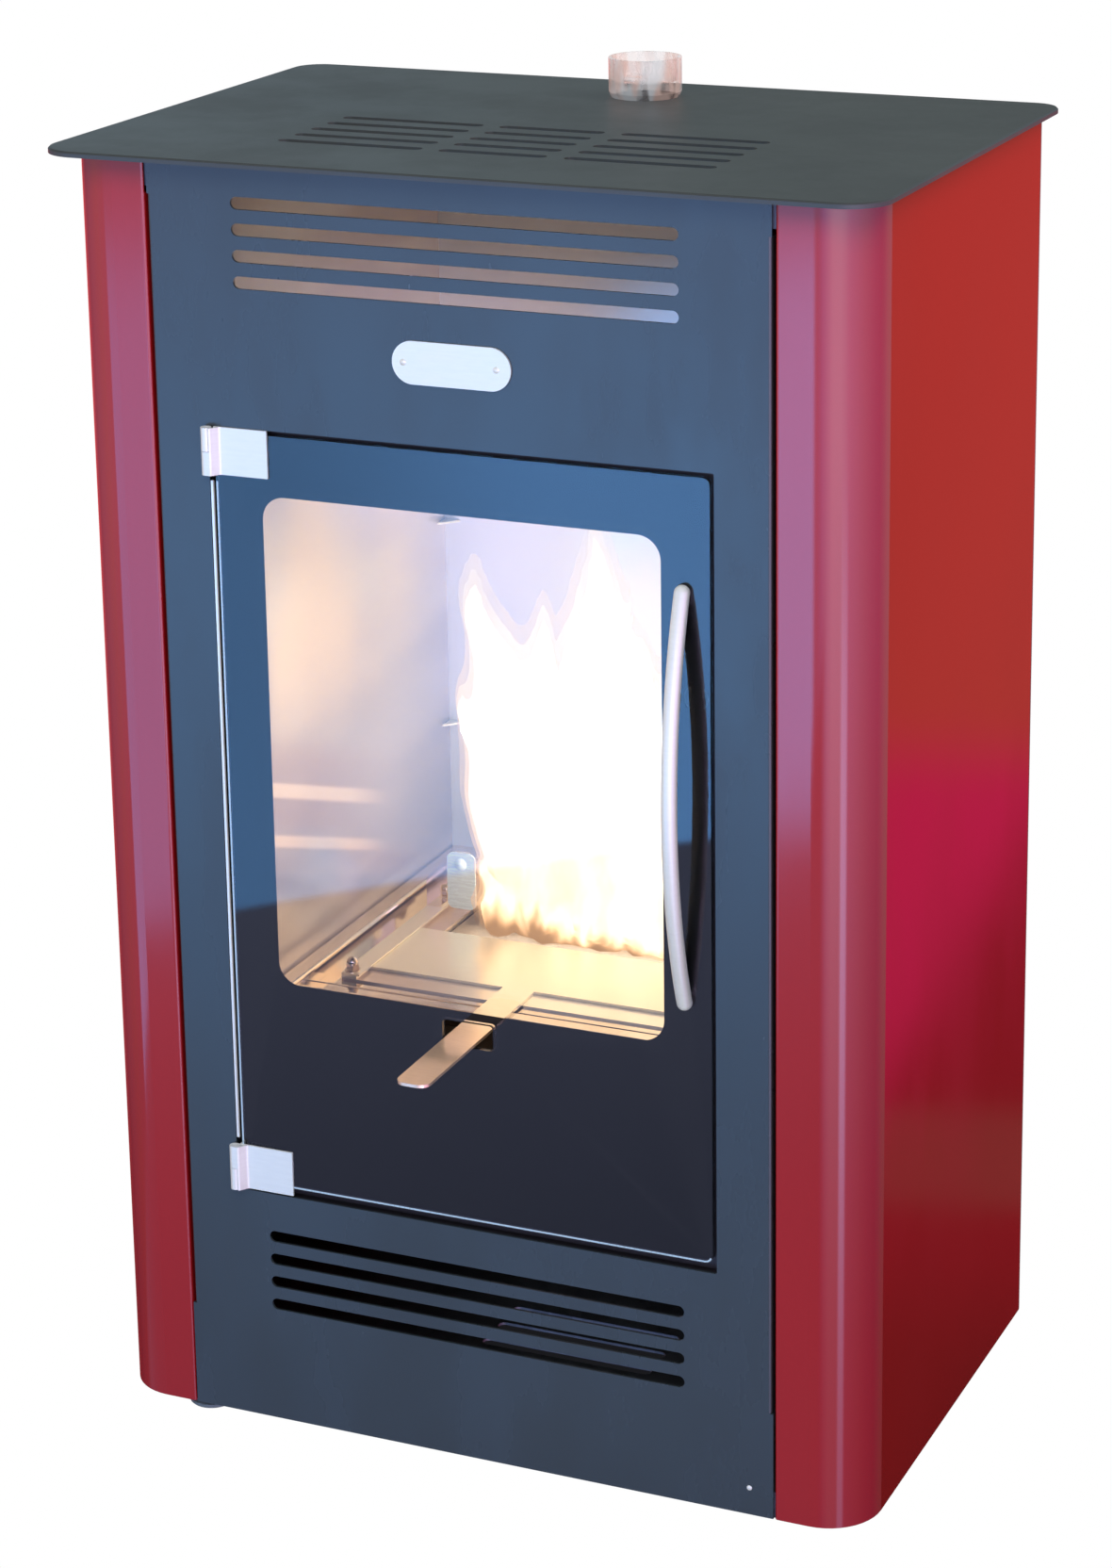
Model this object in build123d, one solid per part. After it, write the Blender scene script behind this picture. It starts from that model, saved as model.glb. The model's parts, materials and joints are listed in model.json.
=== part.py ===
from build123d import *
import os

# Bioethanol stove: a sheet-steel cabinet with a hinged glass door, a burner with a sliding regulator
# plate, and an open liner that leads the warm air out through the front and the top plate.
# Millimetres. X runs across the front, Y from the front to the back, Z up.
# It is drawn with the front panel's face at Y = 0 and the cabinet's lower edge at Z = 0, and moved
# as one at the end, so that the origin lies on the floor under the middle of the bounding box.

# Gaps between sheets that are fitted to each other
FIT = 0.3
TOUCH = 0.1

# How far a cut runs past the face that it opens, or a joined piece into its neighbour
PAST = 1.0

# Cabinet
BODY_HEIGHT = 943.0
BODY_DEPTH = 384.0
BODY_HALF_WIDTH = 296.5
CASING_SHEET = 1.5
CASING_FRONT_BEND = 40.0
CASING_REAR_BEND = 16.0
CASING_LIP = 14.0
CASING_LIP_BEND = 2.5
CASING_REAR_LIP = 34.5
STRIP_WIDTH = 65.3

# Feet: screwed pads under the four corners, the front right one set farther back
FOOT_HEIGHT = 8.0
FOOT_PAD_RADIUS = 17.5
FOOT_PAD_EDGE = 1.0
FOOT_PAD_THICKNESS = 3.2
FOOT_NECK_RADIUS = 8.0
FOOT_NECK_HEIGHT = 2.0
FOOT_SCREW_RADIUS = 4.0
FOOT_NUT_RADIUS = 5.5
FOOT_NUT_HEIGHT = 3.0
FOOT_INSET_X = 67.5
FOOT_INSET_Y = 22.0
FRONT_RIGHT_SETBACK = 10.0

# Base pan and top frame, with an angle post in each corner
RING_SHEET = 2.0
RING_HEIGHT = 20.0
RING_LEDGE = 24.0
POST_LEG = 20.0
POST_INSET = 75.5
BASE_SLOTS = 5
BASE_SLOT_LENGTH = 140.0
BASE_SLOT_WIDTH = 10.0
BASE_SLOT_PITCH = 28.0

# Front panel
PANEL_SHEET = 2.0
PANEL_GAP = 2.4
SILL_GAP = 1.1
SILL_HEIGHT = 81.5
PANEL_RETURN = 16.0
PANEL_BEND = 2.4
RETURN_CLEARANCE = 5.0
SLOTS_PER_BANK = 4
SLOT_HEIGHT = 8.8
UPPER_SLOT_MARGIN = 64.6
UPPER_SLOT_PITCH = 18.36
UPPER_SLOT_DROP = 27.6
LOWER_SLOT_MARGIN = 65.3
LOWER_SLOT_PITCH = 18.1
LOWER_SLOT_DROP = 34.0

# Rear panel
REAR_SHEET = 1.0
REAR_SIDE_CLEARANCE = 17.5
REAR_SLOTS = 6
REAR_SLOT_LENGTH = 150.0
REAR_SLOT_HEIGHT = 7.0
REAR_SLOT_PITCH = 20.0
REAR_SLOT_OFFSET_X = 100.0
REAR_SLOT_MARGIN = 110.0

# Top plate with three groups of vents
TOP_THICKNESS = 4.0
TOP_OVERHANG_X = 10.5
TOP_OVERHANG_FRONT = 19.2
TOP_OVERHANG_BACK = 10.0
TOP_FRONT_CORNER = 30.0
TOP_BACK_CORNER = 22.0
TOP_EDGE = 1.2
VENT_ROWS = 5
VENT_WIDTH = 10.0
VENT_PITCH = 25.0
VENT_FIRST_ROW = 71.5
VENT_SIDE_LENGTH = 110.0
VENT_MIDDLE_LENGTH = 80.0
VENT_GROUP_GAP = 13.0

# Door opening in the front panel, and the glass that hangs in it
OPENING_MARGIN_X = 40.5
OPENING_BOTTOM = 181.5
OPENING_HEIGHT = 576.0
OPENING_CORNER = 1.5
GLASS_GAP_LEFT = 4.85
GLASS_GAP_RIGHT = 3.0
GLASS_GAP_BOTTOM = 7.2
GLASS_GAP_TOP = 3.6
GLASS_THICKNESS = 4.0
GLASS_CORNER = 5.0
ENAMEL_FILM = 0.4
ENAMEL_INSET = 0.4
WINDOW_MARGIN_LEFT = 33.5
WINDOW_MARGIN_RIGHT = 36.8
WINDOW_MARGIN_TOP = 44.4
WINDOW_ABOVE_SLOT = 6.1
WINDOW_CORNER = 17.0

# Frame behind the opening: a flange on the panel, a web, and a stop flange with the seal
FRAME_SHEET = 1.5
FRAME_FLANGE = 10.0
FRAME_DEPTH = 7.8
FRAME_WEB_GAP = 0.5
STOP_MARGIN_X = 34.0
STOP_ABOVE_WINDOW = 1.6
STOP_BELOW_TONGUE = 26.0
SEAL_INSET = 1.5
SEAL_WIDTH = 6.0

# Hinges: a bracket fixed to the panel and a clamp on the glass share each pin
HINGE_SHEET = 1.5
HINGE_HEIGHT = 34.0
HINGE_AXIS_IN = 0.8
HINGE_AXIS_FORWARD = 4.2
KNUCKLE_RADIUS = 3.9
KNUCKLE_GAP = 0.4
KNUCKLE_CLEARANCE = 1.4
PIN_RADIUS = 2.0
PIN_RUNNING_FIT = 0.06
PIN_TIGHT_FIT = 0.02
PIN_SETBACK = 0.2
HINGE_TOP_SETBACK = 0.1
HINGE_BOTTOM_SETBACK = 2.0
BRACKET_FLANGE = 15.0
BRACKET_SETBACK = 2.0
CLAMP_REACH = 41.4
CLAMP_REAR_REACH = 24.0
CLAMP_JOG_START = 4.5
CLAMP_JOG_RUN = 4.5
CLAMP_JOG_OUTER_BEND = 2.2
CLAMP_JOG_INNER_BEND = 2.4

# Door handle, a bowed round bar with flat seats ground on the backs of its ends
HANDLE_RADIUS = 5.5
HANDLE_FROM_EDGE = 18.9
HANDLE_MIDDLE = 339.8
HANDLE_HALF_LENGTH = 146.0
HANDLE_END_OUT = 2.8
HANDLE_BOW = 25.5
SEAT_FROM_END = 3.4
WASHER_RADIUS = 4.2
WASHER_THICKNESS = 0.6
HANDLE_SCREW_RADIUS = 2.5
HANDLE_SCREW_DEPTH = 4.0
HANDLE_SCREW_HEAD_RADIUS = 4.2
HANDLE_SCREW_HEAD = 2.0
GLASS_HOLE_RADIUS = 3.5

# Magnetic catch behind the free edge of the door
CATCH_FROM_EDGE = 12.0
CATCH_HEIGHT_UP = 411.0
CATCH_RADIUS = 9.0
STRIKE_THICKNESS = 1.2

# Name plate, left bare
BADGE_LENGTH = 88.0
BADGE_HEIGHT = 30.0
BADGE_THICKNESS = 1.5
BADGE_ABOVE_OPENING = 57.5
RIVET_RADIUS = 2.4
RIVET_HEIGHT = 1.0
RIVET_SPACING = 69.0
RIVET_SHIFT = -1.3

# Fire chamber liner
CHAMBER_INSET_X = 19.3
CHAMBER_BACK_GAP = 45.5
CHAMBER_SHEET = 1.0
CHAMBER_TOP_GAP = 8.0
CHAMBER_FLANGE = 12.0
CHAMBER_BEND = 2.0
CHAMBER_FLOOR_DROP = 12.0
CHAMBER_FLOOR_EDGE = 12.0
CLIP_LEG = 13.0
LOWER_CLIP_LEVEL = 439.0
UPPER_CLIP_LEVEL = 604.0
LOWER_STAY_LEVEL = 330.0
UPPER_STAY_LEVEL = 780.0
STAY_OFFSET_X = 120.0
STAY_FLANGE = 20.0
STAY_HEIGHT = 40.0

# Burner: a tank that hangs by its lid in a frame of rails
BURNER_LEVEL = 324.2
LID_SHEET = 1.5
LID_GAP_X = 29.0
LID_FRONT = 79.0
LID_GAP_BACK = 28.0
LID_CORNER = 3.0
FLAME_INSET_X = 32.0
FLAME_FRONT = 188.0
FLAME_LENGTH = 68.0
TANK_DEPTH = 60.7
TANK_SHEET = 1.5
TANK_INSET_X = 8.0
TANK_INSET_Y = 7.0
TANK_CORNER = 6.0
WOOL_HEIGHT = 36.0
WOOL_GAP = 1.5
RAIL_SHEET = 1.5
RAIL_RISE = 11.8
RAIL_DROP = 36.0
RAIL_LIP = 6.0
SIDE_RAIL_GAP = 13.0
SIDE_RAIL_FRONT = 30.0
FRONT_RAIL_GAP = 11.2
FRONT_BAR_DEPTH = 16.0
FRONT_BAR_HEIGHT = 12.0
FRONT_BAR_EDGE = 4.0
REAR_RAIL_GAP = 2.0

# Regulator: a plate that slides over the flame opening, with a tongue out through the glass
SLIDE_SHEET = 2.2
SLIDE_INSET_X = 13.8
SLIDE_FRONT = 101.0
SLIDE_TRAVEL = 71.0
SLIDE_OVERLAP = 0.5
TONGUE_WIDTH = 25.0
TONGUE_SHIFT = -5.7
TONGUE_REACH = 81.0
TONGUE_CORNER = 8.0
GLASS_SLOT_WIDTH = 39.4
GLASS_SLOT_SHIFT = 0.5
GLASS_SLOT_HEIGHT = 19.0
GLASS_SLOT_BELOW = 2.6
GLASS_SLOT_CORNER = 3.0
GUIDE_GAP = 0.8
GUIDE_WIDTH = 12.0
GUIDE_LIP = 2.5
GUIDE_LIP_GAP = 0.4
GUIDE_LIP_THICKNESS = 1.2
GUIDE_SETBACK = 0.5
GUIDE_BACK = 262.0

# Dome nuts that hold the guides
NUT_INSET_X = 7.0
NUT_FRONT = 86.0
NUT_BACK = 248.0
NUT_WASHER_RADIUS = 5.8
NUT_WASHER = 1.0
NUT_HEX_RADIUS = 5.2
NUT_HEX_HEIGHT = 4.4
NUT_NECK_RADIUS = 3.4
NUT_NECK = 1.2
NUT_DOME_RADIUS = 4.3
NUT_SHANK_RADIUS = 2.4

# Latch: a plate that hangs from a dome screw on a bracket beside the flame opening
LATCH_WIDTH = 23.5
LATCH_HEIGHT = 45.0
LATCH_SHEET = 1.5
LATCH_CORNER = 5.0
LATCH_BESIDE_FLAME = 0.5
LATCH_PIVOT_DROP = 9.0
LATCH_SWING_GAP = 1.7
LATCH_FRONT = 223.7
LATCH_SCREW_RADIUS = 2.5
LATCH_RUNNING_FIT = 0.05
LATCH_DOME_RADIUS = 5.0
LATCH_DOME_HEIGHT = 3.6
BRACKET_FOOT = 14.0
BRACKET_SHOULDER = 18.0
BRACKET_ABOVE_LATCH = 1.0

# Scent bowl on the top plate
BOWL_RADIUS = 27.0
BOWL_HEIGHT = 29.0
BOWL_WALL = 3.0
BOWL_BASE = 12.0
BOWL_FOOT_INSET = 1.5
BOWL_FOOT_HEIGHT = 4.0
BOWL_X = 5.0
BOWL_FROM_BACK = 63.0

# Places that follow from the sizes above
INNER_HALF_WIDTH = BODY_HALF_WIDTH - CASING_SHEET
STRIP_EDGE = BODY_HALF_WIDTH - STRIP_WIDTH
PANEL_HALF_WIDTH = STRIP_EDGE - PANEL_GAP
SILL_HALF_WIDTH = STRIP_EDGE - SILL_GAP
RING_FRONT = PANEL_SHEET + FIT
REAR_FACE = BODY_DEPTH - CASING_SHEET - REAR_SHEET
UPPER_SLOT_LENGTH = 2 * (PANEL_HALF_WIDTH - UPPER_SLOT_MARGIN)
LOWER_SLOT_LENGTH = 2 * (PANEL_HALF_WIDTH - LOWER_SLOT_MARGIN)
OPENING_HALF_WIDTH = PANEL_HALF_WIDTH - OPENING_MARGIN_X
OPENING_TOP = OPENING_BOTTOM + OPENING_HEIGHT
GLASS_LEFT = -OPENING_HALF_WIDTH + GLASS_GAP_LEFT
GLASS_RIGHT = OPENING_HALF_WIDTH - GLASS_GAP_RIGHT
GLASS_BOTTOM = OPENING_BOTTOM + GLASS_GAP_BOTTOM
GLASS_TOP = OPENING_TOP - GLASS_GAP_TOP
DOOR_BACK = GLASS_THICKNESS + ENAMEL_FILM
SLOT_BOTTOM = BURNER_LEVEL + TOUCH - GLASS_SLOT_BELOW
SLOT_TOP = SLOT_BOTTOM + GLASS_SLOT_HEIGHT
WINDOW_LEFT = GLASS_LEFT + WINDOW_MARGIN_LEFT
WINDOW_RIGHT = GLASS_RIGHT - WINDOW_MARGIN_RIGHT
WINDOW_BOTTOM = SLOT_TOP + WINDOW_ABOVE_SLOT
WINDOW_TOP = GLASS_TOP - WINDOW_MARGIN_TOP
STOP_FACE = PANEL_SHEET + FRAME_DEPTH - FRAME_SHEET
STOP_BACK = PANEL_SHEET + FRAME_DEPTH
STOP_HALF_WIDTH = OPENING_HALF_WIDTH - STOP_MARGIN_X
STOP_BOTTOM = BURNER_LEVEL - STOP_BELOW_TONGUE
STOP_TOP = WINDOW_TOP + STOP_ABOVE_WINDOW
HINGE_X = -OPENING_HALF_WIDTH + HINGE_AXIS_IN
HINGE_Y = -HINGE_AXIS_FORWARD
UPPER_HINGE_TOP = OPENING_TOP - HINGE_TOP_SETBACK
LOWER_HINGE_BOTTOM = OPENING_BOTTOM + HINGE_BOTTOM_SETBACK
HANDLE_X = GLASS_RIGHT - HANDLE_FROM_EDGE
HANDLE_Z = GLASS_BOTTOM + HANDLE_MIDDLE
CATCH_X = GLASS_RIGHT - CATCH_FROM_EDGE
CATCH_Z = GLASS_BOTTOM + CATCH_HEIGHT_UP
CHAMBER_HALF_WIDTH = OPENING_HALF_WIDTH - CHAMBER_INSET_X
CHAMBER_BACK = REAR_FACE - CHAMBER_BACK_GAP
LID_HALF_WIDTH = CHAMBER_HALF_WIDTH - LID_GAP_X
LID_BACK = CHAMBER_BACK - LID_GAP_BACK
LID_UNDERSIDE = BURNER_LEVEL - LID_SHEET
FLAME_HALF_WIDTH = LID_HALF_WIDTH - FLAME_INSET_X
TANK_BOTTOM = LID_UNDERSIDE - TANK_DEPTH
CHAMBER_FLOOR = TANK_BOTTOM - CHAMBER_FLOOR_DROP
CHAMBER_TOP = BODY_HEIGHT - CHAMBER_TOP_GAP
SIDE_LEG = LID_HALF_WIDTH + SIDE_RAIL_GAP
SIDE_FLANGE_TOP = LID_UNDERSIDE - RAIL_SHEET
FRONT_LEG = LID_FRONT - FRONT_RAIL_GAP
REAR_LEG = LID_BACK + REAR_RAIL_GAP
RAIL_TOP = BURNER_LEVEL + RAIL_RISE
SLIDE_HALF_WIDTH = LID_HALF_WIDTH - SLIDE_INSET_X
SLIDE_BOTTOM = BURNER_LEVEL + TOUCH
SLIDE_TOP = SLIDE_BOTTOM + SLIDE_SHEET
SLIDE_BACK = FLAME_FRONT + FLAME_LENGTH - SLIDE_TRAVEL + SLIDE_OVERLAP
GUIDE_INNER = SLIDE_HALF_WIDTH + GUIDE_GAP
GUIDE_OUTER = GUIDE_INNER + GUIDE_WIDTH
GUIDE_LIP_LEVEL = SLIDE_TOP + GUIDE_LIP_GAP
GUIDE_TOP = GUIDE_LIP_LEVEL + GUIDE_LIP_THICKNESS
NUT_X = LID_HALF_WIDTH - NUT_INSET_X
LATCH_PIVOT_X = -FLAME_HALF_WIDTH - LATCH_BESIDE_FLAME
LATCH_REACH = ((LATCH_WIDTH / 2) ** 2 + (LATCH_HEIGHT - LATCH_PIVOT_DROP) ** 2) ** 0.5
LATCH_PIVOT_Z = SLIDE_TOP + LATCH_SWING_GAP + LATCH_REACH
LATCH_BACK = LATCH_FRONT + LATCH_SHEET
BRACKET_FACE = LATCH_BACK + FIT
PLATE_BACK = BODY_DEPTH + TOP_OVERHANG_BACK
ORIGIN_Y = (PLATE_BACK - TONGUE_REACH) / 2


def block(x_range, y_range, z_range):
    """A block between three pairs of limits."""
    sizes = [limit[1] - limit[0] for limit in (x_range, y_range, z_range)]
    middles = [(limit[1] + limit[0]) / 2 for limit in (x_range, y_range, z_range)]
    return Pos(*middles) * Box(*sizes)


def upright(outline, z_range):
    """Extrude an outline of X and Y from one height to another."""
    return extrude(Pos(0, 0, z_range[0]) * outline, amount=z_range[1] - z_range[0])


def facing(outline, y_range):
    """Extrude an outline of X and Z from one depth to another."""
    return extrude(Plane.XZ.offset(-y_range[0]) * outline, amount=y_range[0] - y_range[1])


def crosswise(outline, x_range):
    """Extrude an outline of Y and Z from one side to another."""
    return extrude(Plane.YZ.offset(x_range[0]) * outline, amount=x_range[1] - x_range[0])


def span(x_range, y_range, corner=0.0):
    """A rectangle between two pairs of limits, with rounded corners where a radius is given."""
    width = x_range[1] - x_range[0]
    height = y_range[1] - y_range[0]
    shape = RectangleRounded(width, height, corner) if corner else Rectangle(width, height)
    return Pos(sum(x_range) / 2, sum(y_range) / 2) * shape


def folded(points, bends, sheet):
    """The section of a sheet folded along points, with its thickness to the left of the way they run."""
    return make_face(offset(FilletPolyline(*points, radius=bends), amount=sheet, side=Side.LEFT, closed=True))


def both_sides(solid):
    """The two mirrored solids of a piece that is drawn on the right."""
    return {"left": mirror(solid, about=Plane.YZ), "right": solid}


def hinge_cylinder(radius, z_range):
    """An upright cylinder on the hinge axis."""
    return upright(Pos(HINGE_X, HINGE_Y) * Circle(radius), z_range)


def slot_bank(length, height, pitch, count, first_z):
    """Rounded slots one above another, from the lowest up."""
    slots = [Pos(0, first_z + row * pitch) * SlotOverall(length, height) for row in range(count)]
    return Sketch() + slots


def cabinet_outline():
    """Plan of the space inside the two side casings, the front panel and the rear panel."""
    outline = span((-INNER_HALF_WIDTH, INNER_HALF_WIDTH), (RING_FRONT, REAR_FACE))
    outline = fillet(outline.vertices().group_by(Axis.Y)[0], CASING_FRONT_BEND - CASING_SHEET)
    return fillet(outline.vertices().group_by(Axis.Y)[-1], CASING_REAR_BEND - CASING_SHEET)


def tray(outline, sheet, z_range):
    """A flat bottom with an upstand all round."""
    hollow = upright(offset(outline, amount=-sheet), (z_range[0] + sheet, z_range[1] + sheet))
    return upright(outline, z_range) - hollow


def foot_places():
    """Name and place of each foot."""
    x = BODY_HALF_WIDTH - FOOT_INSET_X
    rear = BODY_DEPTH - FOOT_INSET_Y
    return {
        "front_left": (-x, FOOT_INSET_Y),
        "front_right": (x, FOOT_INSET_Y + FRONT_RIGHT_SETBACK),
        "rear_left": (-x, rear),
        "rear_right": (x, rear),
    }


def foot(x, y):
    """A round pad with its screw and the nut inside the base pan."""
    section = Polyline(
        (0, -FOOT_HEIGHT),
        (FOOT_PAD_RADIUS - FOOT_PAD_EDGE, -FOOT_HEIGHT),
        (FOOT_PAD_RADIUS, -FOOT_HEIGHT + FOOT_PAD_EDGE),
        (FOOT_PAD_RADIUS, -FOOT_HEIGHT + FOOT_PAD_THICKNESS),
        (FOOT_NECK_RADIUS, -FOOT_NECK_HEIGHT),
        (FOOT_NECK_RADIUS, 0),
        (FOOT_SCREW_RADIUS, 0),
        (FOOT_SCREW_RADIUS, RING_SHEET),
        (FOOT_NUT_RADIUS, RING_SHEET),
        (FOOT_NUT_RADIUS, RING_SHEET + FOOT_NUT_HEIGHT),
        (0, RING_SHEET + FOOT_NUT_HEIGHT),
        close=True,
    )
    return Pos(x, y, 0) * revolve(Plane.XZ * make_face(section), axis=Axis.Z)


def base_pan():
    """Bottom of the cabinet, with air slots and the holes of the feet."""
    pan = tray(cabinet_outline(), RING_SHEET, (0, RING_HEIGHT))
    first = BODY_DEPTH / 2 - (BASE_SLOTS - 1) / 2 * BASE_SLOT_PITCH
    slots = slot_bank(BASE_SLOT_LENGTH, BASE_SLOT_WIDTH, BASE_SLOT_PITCH, BASE_SLOTS, first)
    holes = [Pos(x, y) * Circle(FOOT_SCREW_RADIUS + TOUCH) for x, y in foot_places().values()]
    return pan - upright(slots + holes, (-RING_SHEET, 2 * RING_SHEET))


def top_frame():
    """Angle frame under the top plate."""
    outline = cabinet_outline()
    frame = upright(outline, (BODY_HEIGHT - RING_HEIGHT, BODY_HEIGHT))
    frame -= upright(offset(outline, amount=-RING_SHEET), (0, BODY_HEIGHT - RING_SHEET))
    return frame - upright(offset(outline, amount=-RING_LEDGE), (0, BODY_HEIGHT + PAST))


def corner_post(x_sign, front):
    """Angle between the base pan and the top frame, just inside their upstands."""
    x_outer = BODY_HALF_WIDTH - POST_INSET
    face = RING_FRONT + RING_SHEET + FIT if front else REAR_FACE - RING_SHEET - FIT
    inward = 1 if front else -1
    angle = Polyline(
        (x_sign * (x_outer - POST_LEG), face),
        (x_sign * x_outer, face),
        (x_sign * x_outer, face + inward * POST_LEG),
        (x_sign * (x_outer - RING_SHEET), face + inward * POST_LEG),
        (x_sign * (x_outer - RING_SHEET), face + inward * RING_SHEET),
        (x_sign * (x_outer - POST_LEG), face + inward * RING_SHEET),
        close=True,
    )
    return upright(make_face(angle), (RING_SHEET, BODY_HEIGHT - RING_SHEET))


def side_casing():
    """Right casing: front strip, large front bend, side, and the flange for the rear panel."""
    section = folded(
        [
            (STRIP_EDGE, CASING_LIP),
            (STRIP_EDGE, 0),
            (BODY_HALF_WIDTH, 0),
            (BODY_HALF_WIDTH, BODY_DEPTH),
            (BODY_HALF_WIDTH - CASING_REAR_LIP, BODY_DEPTH),
        ],
        [CASING_LIP_BEND, CASING_FRONT_BEND, CASING_REAR_BEND],
        CASING_SHEET,
    )
    casing = upright(section, (0, BODY_HEIGHT))
    relief_x = (STRIP_EDGE - PAST, STRIP_EDGE + CASING_LIP_BEND + TOUCH)
    relief_y = (CASING_SHEET, CASING_LIP + PAST)
    relief = RING_HEIGHT + RETURN_CLEARANCE
    for z_range in ((-PAST, relief), (BODY_HEIGHT - relief, BODY_HEIGHT + PAST)):
        casing -= block(relief_x, relief_y, z_range)
    return casing


def front_panel():
    """Front sheet with the door opening, two banks of slots and a return along each side."""
    returns_top = BODY_HEIGHT - RING_HEIGHT - RETURN_CLEARANCE
    section = folded(
        [
            (-PANEL_HALF_WIDTH, PANEL_RETURN),
            (-PANEL_HALF_WIDTH, 0),
            (PANEL_HALF_WIDTH, 0),
            (PANEL_HALF_WIDTH, PANEL_RETURN),
        ],
        [PANEL_BEND, PANEL_BEND],
        PANEL_SHEET,
    )
    panel = upright(section, (SILL_HEIGHT, returns_top))
    panel += block((-SILL_HALF_WIDTH, SILL_HALF_WIDTH), (0, PANEL_SHEET), (0, SILL_HEIGHT))
    panel += block((-PANEL_HALF_WIDTH, PANEL_HALF_WIDTH), (0, PANEL_SHEET), (returns_top, BODY_HEIGHT))
    opening = span((-OPENING_HALF_WIDTH, OPENING_HALF_WIDTH), (OPENING_BOTTOM, OPENING_TOP), OPENING_CORNER)
    upper_first = BODY_HEIGHT - UPPER_SLOT_DROP - (SLOTS_PER_BANK - 1) * UPPER_SLOT_PITCH
    lower_first = OPENING_BOTTOM - LOWER_SLOT_DROP - (SLOTS_PER_BANK - 1) * LOWER_SLOT_PITCH
    upper = slot_bank(UPPER_SLOT_LENGTH, SLOT_HEIGHT, UPPER_SLOT_PITCH, SLOTS_PER_BANK, upper_first)
    lower = slot_bank(LOWER_SLOT_LENGTH, SLOT_HEIGHT, LOWER_SLOT_PITCH, SLOTS_PER_BANK, lower_first)
    return panel - facing(opening + upper + lower, (-PAST, PANEL_SHEET + PAST))


def rear_panel():
    """Back sheet, held against the casings' rear flanges, with two banks of vents."""
    half_width = BODY_HALF_WIDTH - REAR_SIDE_CLEARANCE
    sheet = span((-half_width, half_width), (FIT, BODY_HEIGHT - FIT))
    upper_first = BODY_HEIGHT - REAR_SLOT_MARGIN - (REAR_SLOTS - 1) * REAR_SLOT_PITCH
    for first in (REAR_SLOT_MARGIN, upper_first):
        bank = slot_bank(REAR_SLOT_LENGTH, REAR_SLOT_HEIGHT, REAR_SLOT_PITCH, REAR_SLOTS, first)
        sheet -= [Pos(sign * REAR_SLOT_OFFSET_X, 0) * bank for sign in (-1, 1)]
    return facing(sheet, (REAR_FACE, REAR_FACE + REAR_SHEET))


def top_plate():
    """Overhanging plate with rounded corners and three groups of vents."""
    half_width = BODY_HALF_WIDTH + TOP_OVERHANG_X
    outline = span((-half_width, half_width), (-TOP_OVERHANG_FRONT, PLATE_BACK))
    outline = fillet(outline.vertices().group_by(Axis.Y)[0], TOP_FRONT_CORNER)
    outline = fillet(outline.vertices().group_by(Axis.Y)[-1], TOP_BACK_CORNER)
    plate = upright(outline, (BODY_HEIGHT, BODY_HEIGHT + TOP_THICKNESS))
    plate = chamfer(plate.faces().sort_by(Axis.Z)[-1].outer_wire().edges(), TOP_EDGE)
    middle = slot_bank(VENT_MIDDLE_LENGTH, VENT_WIDTH, VENT_PITCH, VENT_ROWS, VENT_FIRST_ROW)
    side = slot_bank(VENT_SIDE_LENGTH, VENT_WIDTH, VENT_PITCH, VENT_ROWS, VENT_FIRST_ROW)
    side_x = VENT_MIDDLE_LENGTH / 2 + VENT_GROUP_GAP + VENT_SIDE_LENGTH / 2
    vents = middle + [Pos(sign * side_x, 0) * side for sign in (-1, 1)]
    return plate - upright(vents, (BODY_HEIGHT - PAST, BODY_HEIGHT + TOP_THICKNESS + PAST))


def door_frame():
    """Pressed frame behind the opening: outer flange, web and the stop that the door closes on."""
    web_inner = OPENING_HALF_WIDTH + FRAME_WEB_GAP
    web_outer = web_inner + FRAME_SHEET
    flange_outer = web_outer + FRAME_FLANGE

    def border(half_width):
        grow = half_width - OPENING_HALF_WIDTH
        return span((-half_width, half_width), (OPENING_BOTTOM - grow, OPENING_TOP + grow))

    stop_opening = span((-STOP_HALF_WIDTH, STOP_HALF_WIDTH), (STOP_BOTTOM, STOP_TOP), WINDOW_CORNER)
    flange_back = PANEL_SHEET + FRAME_SHEET
    frame = facing(border(flange_outer) - border(web_outer), (PANEL_SHEET, flange_back))
    frame += facing(border(web_outer) - border(web_inner), (PANEL_SHEET, STOP_BACK))
    frame += facing(border(web_outer) - stop_opening, (STOP_FACE, STOP_BACK))
    notch_x = (-flange_outer - PAST, -OPENING_HALF_WIDTH)
    notch_y = (PANEL_SHEET - PAST, PANEL_SHEET + HINGE_SHEET + TOUCH)
    for low, high in (bracket_leaf_span("upper"), bracket_leaf_span("lower")):
        frame -= block(notch_x, notch_y, (low - FIT, high + FIT))
    return frame


def door_seal():
    """Flat seal on the stop, round its opening."""
    half_width = STOP_HALF_WIDTH + SEAL_INSET
    low = STOP_BOTTOM - SEAL_INSET
    high = STOP_TOP + SEAL_INSET
    inner = span((-half_width, half_width), (low, high), WINDOW_CORNER)
    return facing(offset(inner, amount=SEAL_WIDTH) - inner, (DOOR_BACK + FIT, STOP_FACE))


def door_glass():
    """Toughened pane with the tongue's slot and the two handle holes."""
    pane = span((GLASS_LEFT, GLASS_RIGHT), (GLASS_BOTTOM, GLASS_TOP), GLASS_CORNER)
    pane -= glass_slot(0)
    pane -= [Pos(HANDLE_X, z) * Circle(GLASS_HOLE_RADIUS) for z in seat_levels()]
    return facing(pane, (0, GLASS_THICKNESS))


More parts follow.
